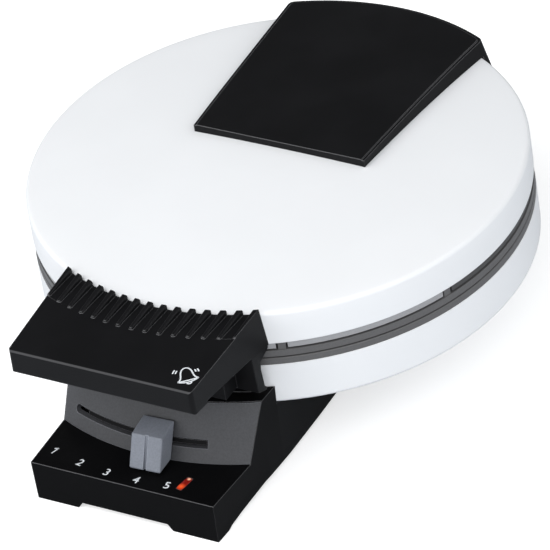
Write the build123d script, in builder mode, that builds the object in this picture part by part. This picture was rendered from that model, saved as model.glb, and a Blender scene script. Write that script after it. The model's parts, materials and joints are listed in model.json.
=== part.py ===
"""Electric krumkake iron: a round wafer iron on a long black base, with a hinged lid and a sliding browning control.

Frame: millimetres, +Z up, origin at the middle of the footprint on the table. The handle points to -Y, the
hinge is at +Y. The round body's axis stands at y = BODY_Y, and plan(), side() and section() give sketch planes
measured from that axis, so most shapes below are written from the middle of the body. Heights are measured from
a datum level DATUM_Z above the table.
"""

import os
from math import cos, degrees, radians, sin, sqrt, tan

from build123d import *

# ---------------------------------------------------------------- driving dimensions (mm)
BODY_Y = 15.0            # round body's axis, measured from the middle of the footprint
DATUM_Z = 1.3            # heights below are measured from a level this far above the table
BODY_R = 110.0           # outer radius of the lid and of the lower housing
WALL = 2.5               # wall of the mouldings

FRONT = -155.0           # handle's front edge, from the body's axis
BASE_FRONT = -154.0      # base's front face
REAR = 125.0             # back of the base

LEDGE_Z = 18.0           # scale ledge in front of the control panel
BASE_TOP_Z = 42.3        # top of the base between panel and body
HOUSING_Z = (32.9, 53.3)     # lower housing, underside and rim
COLLAR_Z = (53.3, 56.85)     # collar on the lower housing
LOWER_RING_Z = (57.3, 60.5)  # ring that frames the lower plate
UPPER_RING_Z = (61.3, 65.75) # ring that frames the upper plate
PARTING_Z = (LOWER_RING_Z[1] + UPPER_RING_Z[0]) / 2
LID_Z = (64.5, 80.7)         # lid wall, bottom edge and top edge
LID_CROWN_Z = 84.4           # top of the lid's dome

HINGE_Y = 117.0          # hinge axis, from the body's axis
HINGE_Z = 61.5
BARREL_R = 6.0
PIN_R = 2.5
KNUCKLE_X = (19.5, 34.0) # the base's knuckles, inner and outer end; the lid's knuckle lies between them

CONTROL_Y = -16.3        # vertical axis of the thermostat and of the curved control panel
PANEL_R = 117.0          # panel radius where it meets the ledge
PANEL_LEAN = 28.5        # panel leans back by this many degrees
PANEL_TOP_Z = 41.1
SLOT_Z = 25.4            # middle of the curved slot
SLOT_HALF = 1.7          # half the slot's height
SLOT_DEG = (-20.4, 14.1)     # slot's ends, seen from the control axis
GUIDE_DEG = (-16.6, 13.9)    # ends of the guide rail in the slot
KNOB_DEG = 2.6           # knob's place at rest, just past mark 4
LEVER_HALF = 4.0         # half the lever's width
LEVER_Z = (SLOT_Z - 1.6, SLOT_Z - 0.8)     # the lever runs under the guide rail

PLATE_DEPTH = 6.7        # from a baking face to the plate's back
FLANGE_R = 100.0         # plate's flange
RING_IN_R = 100.3        # inside of the two rings
TAB_DEG = (-61.3, -21.3)     # centring tabs, and their mirror images
RIB_COUNT = 15
RIB_PITCH = 6.5

RUN = 0.06               # radial clearance of a turning fit
SET = 0.05               # radial gap of a fixed screw in its hole

os.makedirs("parts", exist_ok=True)


# ---------------------------------------------------------------- planes and shared helpers
def plan(z):
    """Horizontal sketch plane at height z, measured from the body's axis."""
    return Plane(origin=(0, BODY_Y, DATUM_Z + z), x_dir=(1, 0, 0), z_dir=(0, 0, 1))


def side(x=0.0):
    """Upright sketch plane across X: first coordinate runs to the rear, second one up."""
    return Plane(origin=(x, BODY_Y, DATUM_Z), x_dir=(0, 1, 0), z_dir=(1, 0, 0))


def across(y, z=0.0):
    """Upright sketch plane across Y, facing the handle: first coordinate is x, second one the height above z."""
    return Plane(origin=(0, BODY_Y + y, DATUM_Z + z), x_dir=(1, 0, 0), z_dir=(0, -1, 0))


def section():
    """Upright sketch plane through the body's axis: first coordinate is the radius, second one the height."""
    return Plane(origin=(0, BODY_Y, DATUM_Z), x_dir=(1, 0, 0), z_dir=(0, -1, 0))


def control_plan(z):
    """Horizontal plane on the control axis, its first coordinate pointing at the knob."""
    turn = radians(KNOB_DEG)
    return Plane(
        origin=(0, BODY_Y + CONTROL_Y, DATUM_Z + z), x_dir=(sin(turn), -cos(turn), 0), z_dir=(0, 0, 1),
    )


BODY_AXIS = Axis((0, BODY_Y, 0), (0, 0, 1))
CONTROL_AXIS = Axis((0, BODY_Y + CONTROL_Y, 0), (0, 0, 1))


def save(builder, name):
    """Labels a finished piece and writes its STEP file."""
    builder.part.label = name
    export_step(builder.part, f"parts/{name}.step")


def turned(points):
    """Turns a closed outline of (radius, height) points about the body's axis, inside the open part."""
    with BuildSketch(section()) as outline:
        with BuildLine():
            Polyline(*points, close=True)
        make_face()
    return revolve(outline.sketch, axis=BODY_AXIS)


def panel_radius(z):
    """Radius of the leaning panel's outer face at height z."""
    return PANEL_R - (z - LEDGE_Z) * tan(radians(PANEL_LEAN))


def crown_z(r):
    """Height of the lid's domed top at radius r."""
    return LID_CROWN_Z - (LID_CROWN_Z - LID_Z[1]) * (r / BODY_R) ** 2


def polar(radius, angle):
    """Point at a radius and an angle in degrees."""
    return (radius * cos(radians(angle)), radius * sin(radians(angle)))


def screws(name, spots, z_head, length, down=True, head_r=3.2, head_h=2.0, shank_r=1.5):
    """Group of like pan-head screws standing upright, heads at z_head, with a cross slot in each head."""
    sign = -1 if down else 1
    with BuildPart() as group:
        with BuildSketch(plan(z_head)):
            with Locations(*spots):
                Circle(head_r)
        extrude(amount=-sign * head_h)
        with BuildSketch(plan(z_head)):
            with Locations(*spots):
                Circle(shank_r)
        extrude(amount=sign * length)
        with BuildSketch(plan(z_head - sign * head_h)):
            with Locations(*spots):
                Rectangle(head_r * 1.2, 0.8)
                Rectangle(0.8, head_r * 1.2)
        extrude(amount=sign * head_h * 0.4, mode=Mode.SUBTRACT)
    save(group, name)


# ---------------------------------------------------------------- base: long black moulding under the round body
# plan of the base: y, half width at the table and half width at the top
BASE_SIDES = ((BASE_FRONT, 44.5, 45.4), (-111.0, 46.3, 47.1), (-99.5, 46.3, 48.0), (REAR, 45.6, 46.5))
FOOT_GAP = 1.8               # top of the gap in the front wall, between the standing corners
# shallow arch under the side walls: y and height, from the front corner to the rear one
SIDE_ARCH = (
    (-147, -2), (-143, -0.2), (-135, 0.8), (-115, 2.2), (-93, 1.4), (-66, 1.9), (-51, 2.6), (93, 2.6), (96, -2),
)
TOWER_TOP_Z = 53.0           # tower that carries the hinge
TOWER_HALF = 35.0
BODY_CLEAR_R = BODY_R + 0.4
ROOF_Z = HOUSING_Z[0] - WALL
LEDGE_UNDER_Z = LEDGE_Z - WALL
PANEL_THICK = 2.5
PANEL_INSET = 0.5            # black wall beside the panel's ends
LIP_Z = PANEL_TOP_Z + 0.5    # the base's roof falls to this height above the panel
LIP_FALL_R = 96.3            # where that fall begins, from the control axis
UPSTAND_R = (111.2, 113.3)    # low wall under the handle's skirt
UPSTAND_HALF = 40.0
UPSTAND_Z = 44.5
SERVICE_HOLE_R = 28.0        # opening around the thermostat, in the base's roof and the housing's floor


def base_outline(z, inset):
    """Eight-cornered plan of the base at height z, moved in by inset; it widens upwards at the shoulder."""
    (front, *_), *_, (rear, *_) = BASE_SIDES
    right = [
        (low + (high - low) * z / BASE_TOP_Z - inset, min(max(y, front + inset), rear - inset))
        for y, low, high in BASE_SIDES
    ]
    left = [(-x, y) for x, y in reversed(right)]
    with BuildSketch(plan(z)) as outline:
        Polygon(*right, *left, align=None)
    return outline.sketch


def base_prism(low_z, high_z, inset):
    """Solid with the base's flaring sides between two heights, moved in by inset."""
    with BuildPart() as prism:
        loft([base_outline(low_z, inset), base_outline(high_z, inset)], ruled=True)
    return prism.part


def control_ray(angle):
    """Upright plane through the control axis, facing out at an angle from straight ahead."""
    turn = radians(angle)
    return Plane(
        origin=(0, BODY_Y + CONTROL_Y, DATUM_Z),
        x_dir=(sin(turn), -cos(turn), 0),
        z_dir=(-cos(turn), -sin(turn), 0),
    )


def cut_front(inset, floor_z):
    """Removes everything in front of the leaning panel's cone, above floor_z."""
    with BuildSketch(control_ray(-60)) as outline:
        with BuildLine():
            Polyline(
                (panel_radius(floor_z) - inset, floor_z), (panel_radius(70) - inset, 70),
                (220, 70), (220, floor_z), close=True,
            )
        make_face()
    revolve(outline.sketch, axis=CONTROL_AXIS, revolution_arc=120, mode=Mode.SUBTRACT)


def cut_body(radius, floor_z):
    """Removes the round body's space above floor_z."""
    with BuildSketch(plan(floor_z)) as disc:
        Circle(radius)
    extrude(disc.sketch, amount=80, mode=Mode.SUBTRACT)


def cut_slot(low_z, high_z, left, right):
    """Cuts a curved slot through the panel between two heights and two angles seen from the control axis."""
    reach = PANEL_R + 10
    with BuildSketch(Plane(origin=(0, BODY_Y + CONTROL_Y, DATUM_Z + low_z))) as sector:
        with BuildLine():
            Polyline(
                (0, 0),
                (reach * sin(radians(left)), -reach * cos(radians(left))),
                (0, -reach * 1.2),
                (reach * sin(radians(right)), -reach * cos(radians(right))),
                close=True,
            )
        make_face()
        Circle(PANEL_R - 25, mode=Mode.SUBTRACT)
    extrude(sector.sketch, amount=high_z - low_z, mode=Mode.SUBTRACT)


LENS_AT = (25.5, -144.5)
LENS_TURN = -8.5
LENS_SIZE = (2.4, 8.2)
HOUSING_SCREWS = [(x, y) for x in (-34, 34) for y in (-75, 60)]
POST_SPOTS = [polar(40, angle) for angle in (90, 210, 330)]
COVER_SCREWS = [(x, y) for x in (-36, 36) for y in (-142, -60, 25, 100)]
GLAND_Z = 20.0
GLAND_R = 5.9

with BuildPart() as panel_seat:
    with BuildSketch(control_ray(-60)):
        with BuildLine():
            Polyline(
                (panel_radius(LEDGE_Z) - PANEL_THICK - 0.1, LEDGE_Z),
                (panel_radius(PANEL_TOP_Z + 0.1) - PANEL_THICK - 0.1, PANEL_TOP_Z + 0.1),
                (PANEL_R + 5, PANEL_TOP_Z + 0.1), (PANEL_R + 5, LEDGE_Z), close=True,
            )
        make_face()
    revolve(axis=CONTROL_AXIS, revolution_arc=120)
    add(base_prism(-DATUM_Z, BASE_TOP_Z, PANEL_INSET - 0.1), mode=Mode.INTERSECT)

with BuildPart() as base_hollow:
    add(base_prism(-DATUM_Z, BASE_TOP_Z - WALL, WALL))
    cut_front(PANEL_THICK + WALL, LEDGE_UNDER_Z)
    cut_body(BODY_CLEAR_R + WALL, ROOF_Z)

with BuildPart() as base_housing:
    add(base_prism(-DATUM_Z, BASE_TOP_Z, 0))
    # fall of the roof towards the panel's upper edge
    with BuildSketch(control_ray(-60)):
        Polygon(
            (LIP_FALL_R, BASE_TOP_Z), (panel_radius(LIP_Z), LIP_Z), (PANEL_R + 5, LIP_Z),
            (PANEL_R + 5, BASE_TOP_Z + 5), (LIP_FALL_R, BASE_TOP_Z + 5), align=None,
        )
    revolve(axis=CONTROL_AXIS, revolution_arc=120, mode=Mode.SUBTRACT)
    # low wall that closes the view under the handle's skirt
    with BuildSketch(plan(BASE_TOP_Z - 1)):
        Circle(UPSTAND_R[1])
        Circle(UPSTAND_R[0], mode=Mode.SUBTRACT)
        with Locations((0, -110)):
            Rectangle(2 * UPSTAND_HALF, 20, mode=Mode.INTERSECT)
    extrude(amount=UPSTAND_Z - BASE_TOP_Z + 1)
    # hinge tower and knuckles
    with BuildSketch(side(-TOWER_HALF)):
        Polygon(
            (80, BASE_TOP_Z - 1), (REAR, BASE_TOP_Z - 1), (REAR, TOWER_TOP_Z - 2),
            (REAR - 2, TOWER_TOP_Z), (80, TOWER_TOP_Z), align=None,
        )
    extrude(amount=2 * TOWER_HALF)
    for left in (-KNUCKLE_X[1], KNUCKLE_X[0]):
        with BuildSketch(side(left)):
            Polygon(
                (80, TOWER_TOP_Z - 1), (REAR - 2, TOWER_TOP_Z - 1),
                (HINGE_Y + BARREL_R, HINGE_Z), (HINGE_Y, HINGE_Z), (80, HINGE_Z - 2), align=None,
            )
            with Locations((HINGE_Y, HINGE_Z)):
                Circle(BARREL_R)
        extrude(amount=KNUCKLE_X[1] - KNUCKLE_X[0])
    # stop that meets the lug on the lid's knuckle when the lid is fully open
    with BuildSketch(side(-9)):
        Polygon(
            (BODY_R, TOWER_TOP_Z - 1), (HINGE_Y - 3.7, TOWER_TOP_Z - 1),
            (HINGE_Y - 3.7, HINGE_Z - 5.4), (BODY_R, HINGE_Z - 5.4), align=None,
        )
    extrude(amount=18)
    cut_front(0, LEDGE_Z)
    cut_body(BODY_CLEAR_R, HOUSING_Z[0])
    add(panel_seat.part, mode=Mode.SUBTRACT)
    add(base_hollow.part, mode=Mode.SUBTRACT)
    # bosses for the bottom cover's screws
    with BuildSketch(plan(4.2)):
        with Locations(*COVER_SCREWS):
            Circle(4.2)
    extrude(amount=LEDGE_UNDER_Z - 4.0)
    with BuildSketch(plan(LEDGE_UNDER_Z)):
        with Locations(*[spot for spot in COVER_SCREWS if spot[1] > -100]):
            Circle(4.2)
    extrude(amount=ROOF_Z - LEDGE_UNDER_Z + 0.2)
    with BuildSketch(plan(4.2)):
        with Locations(*COVER_SCREWS):
            Circle(1.5 + SET)
    extrude(amount=10, mode=Mode.SUBTRACT)
    # openings in the roof, the ledge, the front wall and the back wall
    with BuildSketch(plan(ROOF_Z - 1)):
        with Locations((0, CONTROL_Y)):
            Circle(SERVICE_HOLE_R)
        with Locations(*POST_SPOTS):
            Circle(4.5)
        with Locations(*HOUSING_SCREWS):
            Circle(1.5 + SET)
    extrude(amount=WALL + 2, mode=Mode.SUBTRACT)
    with BuildSketch(plan(LEDGE_UNDER_Z - 1)):
        with Locations(Location((*LENS_AT, 0), (0, 0, LENS_TURN))):
            Rectangle(LENS_SIZE[0] + 0.1, LENS_SIZE[1] + 0.1)
    extrude(amount=WALL + 2, mode=Mode.SUBTRACT)
    cut_slot(LEVER_Z[0] - 0.3, LEVER_Z[1] + 0.2, SLOT_DEG[0] - 0.4, SLOT_DEG[1] + 0.4)
    with BuildSketch(across(REAR, GLAND_Z)):
        Circle(GLAND_R + SET)
    extrude(amount=WALL + 1, mode=Mode.SUBTRACT)
    # hinge pin holes
    with BuildSketch(side(-KNUCKLE_X[1] - 1)):
        with Locations((HINGE_Y, HINGE_Z)):
            Circle(PIN_R + SET)
    extrude(amount=2 * KNUCKLE_X[1] + 2, mode=Mode.SUBTRACT)
    # gaps between the standing corners
    with BuildSketch(across(BASE_FRONT - 1)):
        Polygon((-24.8, -2), (-22, FOOT_GAP), (20, FOOT_GAP), (22.8, -2), align=None)
    extrude(amount=-6, mode=Mode.SUBTRACT)
    with BuildSketch(side(-60)):
        Polygon(*SIDE_ARCH, align=None)
    extrude(amount=120, mode=Mode.SUBTRACT)
save(base_housing, "base_housing")

with BuildPart() as base_cover:
    add(base_prism(FOOT_GAP + 0.1, FOOT_GAP + 2.3, WALL + 0.2))
    with BuildSketch(plan(FOOT_GAP)):
        with Locations(*COVER_SCREWS):
            Circle(1.5 + SET)
        with Locations(*[(x, y) for x in (-12, 12) for y in range(-100, 60, 10)]):
            SlotOverall(18, 3.0)
    extrude(amount=3, mode=Mode.SUBTRACT)
    # pegs under the signal board
    with BuildSketch(plan(4.1)):
        with Locations(*[(x, y) for x in (-22, 22) for y in (-147, -138)]):
            Circle(1.8)
    extrude(amount=4.35)
save(base_cover, "base_cover")

with BuildPart() as base_feet:
    with BuildSketch(plan(-DATUM_Z)):
        with Locations(*[(x, y) for x in (-24, 24) for y in (-142, 112)]):
            Circle(7)
    extrude(amount=DATUM_Z + FOOT_GAP + 0.05)
    chamfer(base_feet.faces().group_by(Axis.Z)[0].edges(), 0.6)
save(base_feet, "base_feet")

screws("cover_screws", COVER_SCREWS, FOOT_GAP + 0.05, 10, down=False, head_r=2.8, head_h=1.5)

with BuildPart() as control_panel:
    with BuildSketch(control_ray(-60)):
        with BuildLine():
            Polyline(
                (panel_radius(LEDGE_Z + 0.1), LEDGE_Z + 0.1),
                (panel_radius(PANEL_TOP_Z), PANEL_TOP_Z),
                (panel_radius(PANEL_TOP_Z) - PANEL_THICK, PANEL_TOP_Z),
                (panel_radius(LEDGE_Z + 0.1) - PANEL_THICK, LEDGE_Z + 0.1),
                close=True,
            )
        make_face()
    revolve(axis=CONTROL_AXIS, revolution_arc=120)
    add(base_prism(-DATUM_Z, BASE_TOP_Z, PANEL_INSET), mode=Mode.INTERSECT)
    # slot with a round left end
    round_deg = SLOT_DEG[0] + degrees(SLOT_HALF / panel_radius(SLOT_Z))
    cut_slot(SLOT_Z - SLOT_HALF, SLOT_Z + SLOT_HALF, round_deg, SLOT_DEG[1])
    outward = (sin(radians(round_deg)), -cos(radians(round_deg)), 0)
    with BuildSketch(Plane(origin=(0, BODY_Y + CONTROL_Y, DATUM_Z + SLOT_Z), z_dir=outward)):
        Circle(SLOT_HALF)
    extrude(amount=PANEL_R + 10, mode=Mode.SUBTRACT)
save(control_panel, "control_panel")

with BuildPart() as slot_guide:
    # rail across the slot, above the lever
    with BuildSketch(control_ray(GUIDE_DEG[0])):
        low, high = LEVER_Z[1] + 0.25, SLOT_Z + SLOT_HALF - 0.55
        Polygon(
            (panel_radius(low) - PANEL_THICK - 0.05, low), (panel_radius(low) - 0.6, low),
            (panel_radius(high) - 0.6, high), (panel_radius(high) - PANEL_THICK - 0.05, high), align=None,
        )
    revolve(axis=CONTROL_AXIS, revolution_arc=GUIDE_DEG[1] - GUIDE_DEG[0])
save(slot_guide, "slot_guide")

with BuildPart() as indicator_lens:
    with BuildSketch(plan(LEDGE_UNDER_Z - 1)):
        with Locations(Location((*LENS_AT, 0), (0, 0, LENS_TURN))):
            Rectangle(*LENS_SIZE)
    extrude(amount=LEDGE_Z - LEDGE_UNDER_Z + 1.2)
save(indicator_lens, "indicator_lens")

BOARD_Z = 8.5
with BuildPart() as signal_board:
    with BuildSketch(plan(BOARD_Z)):
        with Locations((0, -142.5)):
            Rectangle(56, 14)
    extrude(amount=1.5)
save(signal_board, "signal_board")

with BuildPart() as signal_buzzer:
    with BuildSketch(plan(BOARD_Z + 1.55)):
        with Locations((-8, -142.5)):
            Circle(6)
    extrude(amount=4.8)
    with BuildSketch(plan(BOARD_Z + 4.6)):
        with Locations((-8, -142.5)):
            Circle(1)
    extrude(amount=3, mode=Mode.SUBTRACT)
save(signal_buzzer, "signal_buzzer")

with BuildPart() as indicator_lamp:
    with BuildSketch(plan(BOARD_Z + 1.55)):
        with Locations(LENS_AT):
            Circle(2)
    extrude(amount=3.6)
    fillet(indicator_lamp.faces().sort_by(Axis.Z)[-1].edges(), 1.2)
save(indicator_lamp, "indicator_lamp")

with BuildPart() as cord_gland:
    with BuildSketch(across(REAR, GLAND_Z)):
        Circle(GLAND_R)
    extrude(amount=8)
    with BuildSketch(across(REAR - WALL - 0.1, GLAND_Z)):
        Circle(GLAND_R + 2)
    extrude(amount=2.5)
    with BuildSketch(across(REAR, GLAND_Z)):
        Circle(3.6)
    extrude(amount=8, mode=Mode.SUBTRACT)
save(cord_gland, "cord_gland")

with BuildPart() as terminal_block:
    with BuildSketch(plan(4.15)):
        with Locations((0, 92)):
            Rectangle(30, 14)
    extrude(amount=9)
    with BuildSketch(plan(13.15)):
        with Locations(*[(x, y) for x in (-10, 0, 10) for y in (88.5, 95.5)]):
            Circle(1.6)
    extrude(amount=-4, mode=Mode.SUBTRACT)
save(terminal_block, "terminal_block")


# ---------------------------------------------------------------- lower half of the round body
HOUSING_FLOOR_Z = HOUSING_Z[0] + WALL
BAKING_GAP = 2.0             # between the two baking faces
LOWER_FACE_Z = PARTING_Z - BAKING_GAP / 2
LOWER_BACK_Z = LOWER_FACE_Z - PLATE_DEPTH
UPPER_BACK_Z = 2 * PARTING_Z - LOWER_BACK_Z
HEATER_R = 56.0
HEATER_TUBE_R = 3.2
REFLECTOR_R = 92.0

with BuildPart() as lower_housing:
    with BuildSketch(section()):
        with BuildLine():
            Polyline(
                (0, HOUSING_Z[0]), (BODY_R, HOUSING_Z[0]), (BODY_R, HOUSING_Z[1]),
                (BODY_R - WALL, HOUSING_Z[1]), (BODY_R - WALL, HOUSING_FLOOR_Z), (0, HOUSING_FLOOR_Z),
                close=True,
            )
        outline = make_face()
        fillet(outline.vertices().sort_by(Axis.X)[-2:].sort_by(Axis.Y)[0], 2.2)
    revolve(axis=BODY_AXIS)
    with BuildSketch(plan(HOUSING_FLOOR_Z - 0.5)):
        with Locations(*HOUSING_SCREWS):
            Circle(4)
    extrude(amount=5)
    with BuildSketch(plan(HOUSING_Z[0] - 1)):
        with Locations((0, CONTROL_Y)):
            Circle(SERVICE_HOLE_R)
        with Locations(*(POST_SPOTS + HOUSING_SCREWS)):
            Circle(1.5 + SET)
    extrude(amount=12, mode=Mode.SUBTRACT)
save(lower_housing, "lower_housing")

screws("housing_screws", HOUSING_SCREWS, ROOF_Z, 8.5, down=False)

COLLAR_R = 109.8
LOWER_RING_R = 109.7
with BuildPart() as lower_collar:
    turned([
        (96, COLLAR_Z[1] - 2.4), (103.5, COLLAR_Z[1] - 2.4), (103.5, COLLAR_Z[0] - 3.6), (107.4, COLLAR_Z[0] - 3.6),
        (107.4, COLLAR_Z[0] + 0.05), (COLLAR_R, COLLAR_Z[0] + 0.05), (COLLAR_R, COLLAR_Z[1] - 0.6),
        (COLLAR_R - 0.3, COLLAR_Z[1] - 0.3), (108.4, COLLAR_Z[1] - 0.3), (108.4, COLLAR_Z[1]), (100.2, COLLAR_Z[1]),
        (100.2, COLLAR_Z[1] - 0.2), (96, COLLAR_Z[1] - 0.2),
    ])
save(lower_collar, "lower_collar")

TAB_TOP_Z = 64.0
TAB_ANGLES = [angle for tab in TAB_DEG for angle in (tab, -180 - tab)]
with BuildPart() as lower_ring:
    turned([
        (RING_IN_R, COLLAR_Z[1] + 0.05), (108.4, COLLAR_Z[1] + 0.05), (108.4, LOWER_RING_Z[0]),
        (LOWER_RING_R, LOWER_RING_Z[0]), (LOWER_RING_R, LOWER_RING_Z[1]), (RING_IN_R, LOWER_RING_Z[1]),
    ])
    for angle in TAB_ANGLES:
        with BuildSketch(plan(LOWER_RING_Z[1] - 0.5)):
            with Locations(Location((*polar(108.3, angle), 0), (0, 0, angle))):
                Rectangle(1.8, 3.4)
        extrude(amount=TAB_TOP_Z - LOWER_RING_Z[1] + 0.5)
save(lower_ring, "lower_ring")


def plate_outline(face_down):
    """Half section of a baking plate; the upper plate is the lower one turned over about the parting plane."""
    below_parting = [
        (0, 7.7), (79, 7.7), (81, 4.2), (FLANGE_R, 4.2), (FLANGE_R, 1.1), (98, 1.1), (97, 2.1),
        (83, 2.1), (81, 0.5), (78, 0.5), (77.3, 1.0), (0, 1.0),
    ]
    sign = 1 if face_down else -1
    return [(r, PARTING_Z + sign * drop) for r, drop in below_parting]


LINE = 1.2                   # width of an engraved line
LINE_DEPTH = 0.7


def engrave(z, inward):
    """Engraves the traditional wafer rosette: rings, a chain of interlaced circles and a flower of petals."""
    for radius in (73, 44, 13):
        with BuildSketch(plan(z)) as ring:
            Circle(radius)
            Circle(radius - LINE, mode=Mode.SUBTRACT)
        extrude(ring.sketch, amount=inward * LINE_DEPTH, mode=Mode.SUBTRACT)
    for angle in range(0, 360, 30):
        with BuildSketch(plan(z)) as link:
            with Locations(polar(58.5, angle)):
                Circle(12.9)
                Circle(12.9 - LINE, mode=Mode.SUBTRACT)
        extrude(link.sketch, amount=inward * LINE_DEPTH, mode=Mode.SUBTRACT)
    for angle in range(0, 360, 45):
        with BuildSketch(plan(z)) as petal:
            with Locations(Location((*polar(28, angle), 0), (0, 0, angle))):
                Ellipse(12.5, 4.8)
                Ellipse(12.5 - LINE, 4.8 - LINE, mode=Mode.SUBTRACT)
        extrude(petal.sketch, amount=inward * LINE_DEPTH, mode=Mode.SUBTRACT)


def plate(name, face_down):
    """One baking plate with its engraved face and the blind holes that its screws bite into."""
    face_z = 2 * PARTING_Z - LOWER_FACE_Z if face_down else LOWER_FACE_Z
    back_z = UPPER_BACK_Z if face_down else LOWER_BACK_Z
    inward = 1 if face_down else -1
    with BuildPart() as piece:
        turned(plate_outline(face_down))
        engrave(face_z, inward)
        with BuildSketch(plan(back_z)):
            with Locations(*POST_SPOTS):
                Circle(1.5 + SET)
        extrude(amount=-inward * 4.2, mode=Mode.SUBTRACT)
    save(piece, name)


def heater(name, z, leg_to):
    """Tubular heating ring with its two cold ends turned towards the wiring side."""
    with BuildPart() as piece:
        with BuildSketch(Plane(origin=(0, BODY_Y, DATUM_Z), x_dir=(*polar(1, -70), 0), z_dir=(*polar(1, -160), 0))):
            with Locations((HEATER_R, z)):
                Circle(HEATER_TUBE_R)
        revolve(axis=BODY_AXIS, revolution_arc=320)
        with BuildSketch(plan(z)):
            with Locations(polar(HEATER_R, -70 + 4), polar(HEATER_R, -110 - 4)):
                Circle(1.6)
        extrude(amount=leg_to - z)
    save(piece, name)


def posts(name, z_low, z_high, shoulder_z):
    """Three tubular posts between a plate and its half of the body, each with a shoulder for the reflector."""
    with BuildPart() as piece:
        with BuildSketch(plan(z_low)):
            with Locations(*POST_SPOTS):
                Circle(4)
                Circle(1.5 + SET, mode=Mode.SUBTRACT)
        extrude(amount=z_high - z_low)
        if shoulder_z is not None:
            with BuildSketch(plan(z_low)):
                with Locations(*POST_SPOTS):
                    Circle(6)
                    Circle(1.5 + SET, mode=Mode.SUBTRACT)
            extrude(amount=shoulder_z - z_low)
    save(piece, name)


LOWER_REFLECTOR_Z = 42.0
THERMOSTAT_Z = (39.0, 49.5)
plate("lower_plate", face_down=False)
heater("lower_heater", LOWER_BACK_Z - HEATER_TUBE_R - 0.05, 44.5)
posts("lower_posts", HOUSING_FLOOR_Z + 0.02, LOWER_BACK_Z - 0.02, LOWER_REFLECTOR_Z - 0.03)
screws("lower_plate_screws", POST_SPOTS, HOUSING_Z[0] - 0.03, LOWER_BACK_Z - HOUSING_Z[0] + 3.5, down=False)

with BuildPart() as lower_reflector:
    turned([
        (0, LOWER_REFLECTOR_Z), (REFLECTOR_R, LOWER_REFLECTOR_Z), (REFLECTOR_R, 50.0), (REFLECTOR_R - 0.8, 50.0),
        (REFLECTOR_R - 0.8, LOWER_REFLECTOR_Z + 0.8), (0, LOWER_REFLECTOR_Z + 0.8),
    ])
    with BuildSketch(plan(LOWER_REFLECTOR_Z - 1)):
        with Locations(*POST_SPOTS):
            Circle(4.3)
        with Locations((0, CONTROL_Y)):
            Rectangle(38, 26)
    extrude(amount=3, mode=Mode.SUBTRACT)
save(lower_reflector, "lower_reflector")

with BuildPart() as thermostat_body:
    with BuildSketch(plan(THERMOSTAT_Z[0])):
        with Locations((0, CONTROL_Y)):
            RectangleRounded(34, 22, 3)
    extrude(amount=THERMOSTAT_Z[1] - THERMOSTAT_Z[0])
    with BuildSketch(plan(THERMOSTAT_Z[0])):
        with Locations((0, CONTROL_Y)):
            Circle(3 + RUN)
    extrude(amount=6, mode=Mode.SUBTRACT)
    with BuildSketch(plan(THERMOSTAT_Z[1])):
        with Locations((-13, CONTROL_Y), (13, CONTROL_Y)):
            Rectangle(4, 0.8)
    extrude(amount=2.2)
save(thermostat_body, "thermostat_body")

with BuildPart() as thermostat_bracket:
    # strap over the plate's underside with two lugs that carry the thermostat
    with BuildSketch(plan(LOWER_BACK_Z - 0.8)):
        with Locations((0, CONTROL_Y)):
            Rectangle(60, 12)
    extrude(amount=0.75)
    with BuildSketch(plan(THERMOSTAT_Z[0] + 2)):
        with Locations((-17.5, CONTROL_Y), (17.5, CONTROL_Y)):
            Rectangle(0.9, 12)
    extrude(amount=LOWER_BACK_Z - 0.7 - THERMOSTAT_Z[0] - 2)
save(thermostat_bracket, "thermostat_bracket")

FUSE_R = 2.2
FUSE_Y = 16.0
with BuildPart() as thermal_fuse:
    for half_length, radius in ((12, FUSE_R), (22, 0.7)):
        with BuildSketch(side(-half_length)):
            with Locations((FUSE_Y, LOWER_BACK_Z - FUSE_R - 0.1)):
                Circle(radius)
        extrude(amount=2 * half_length)
save(thermal_fuse, "thermal_fuse")

# ---------------------------------------------------------------- sliding browning control
with BuildPart() as thermostat_shaft:
    with BuildSketch(control_plan(22.5)):
        Circle(3)
    extrude(amount=THERMOSTAT_Z[0] + 5.5 - 22.5)
    with BuildSketch(control_plan(22.5)):
        with Locations((3.0, 0)):
            Rectangle(1.4, 6)
    extrude(amount=8, mode=Mode.SUBTRACT)
save(thermostat_shaft, "thermostat_shaft")

LEVER_REACH = PANEL_R + 0.5
with BuildPart() as control_lever:
    with BuildSketch(control_plan(LEVER_Z[0] - 1.8)):
        Circle(6.5)
    extrude(amount=4.8)
    with BuildSketch(control_plan(LEVER_Z[0])):
        with Locations((LEVER_REACH / 2, 0)):
            Rectangle(LEVER_REACH, 2 * LEVER_HALF)
    extrude(amount=LEVER_Z[1] - LEVER_Z[0])
    with BuildSketch(control_plan(LEVER_Z[0])):
        with Locations((30, 0), (55, 0)):
            SlotOverall(16, 3)
    extrude(amount=2, mode=Mode.SUBTRACT)
    with BuildSketch(control_plan(LEVER_Z[0] - 3)):
        Circle(3 + SET)
        with Locations((3.0 + SET, 0)):
            Rectangle(1.4, 7, mode=Mode.SUBTRACT)
    extrude(amount=8, mode=Mode.SUBTRACT)
save(control_lever, "control_lever")

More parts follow.
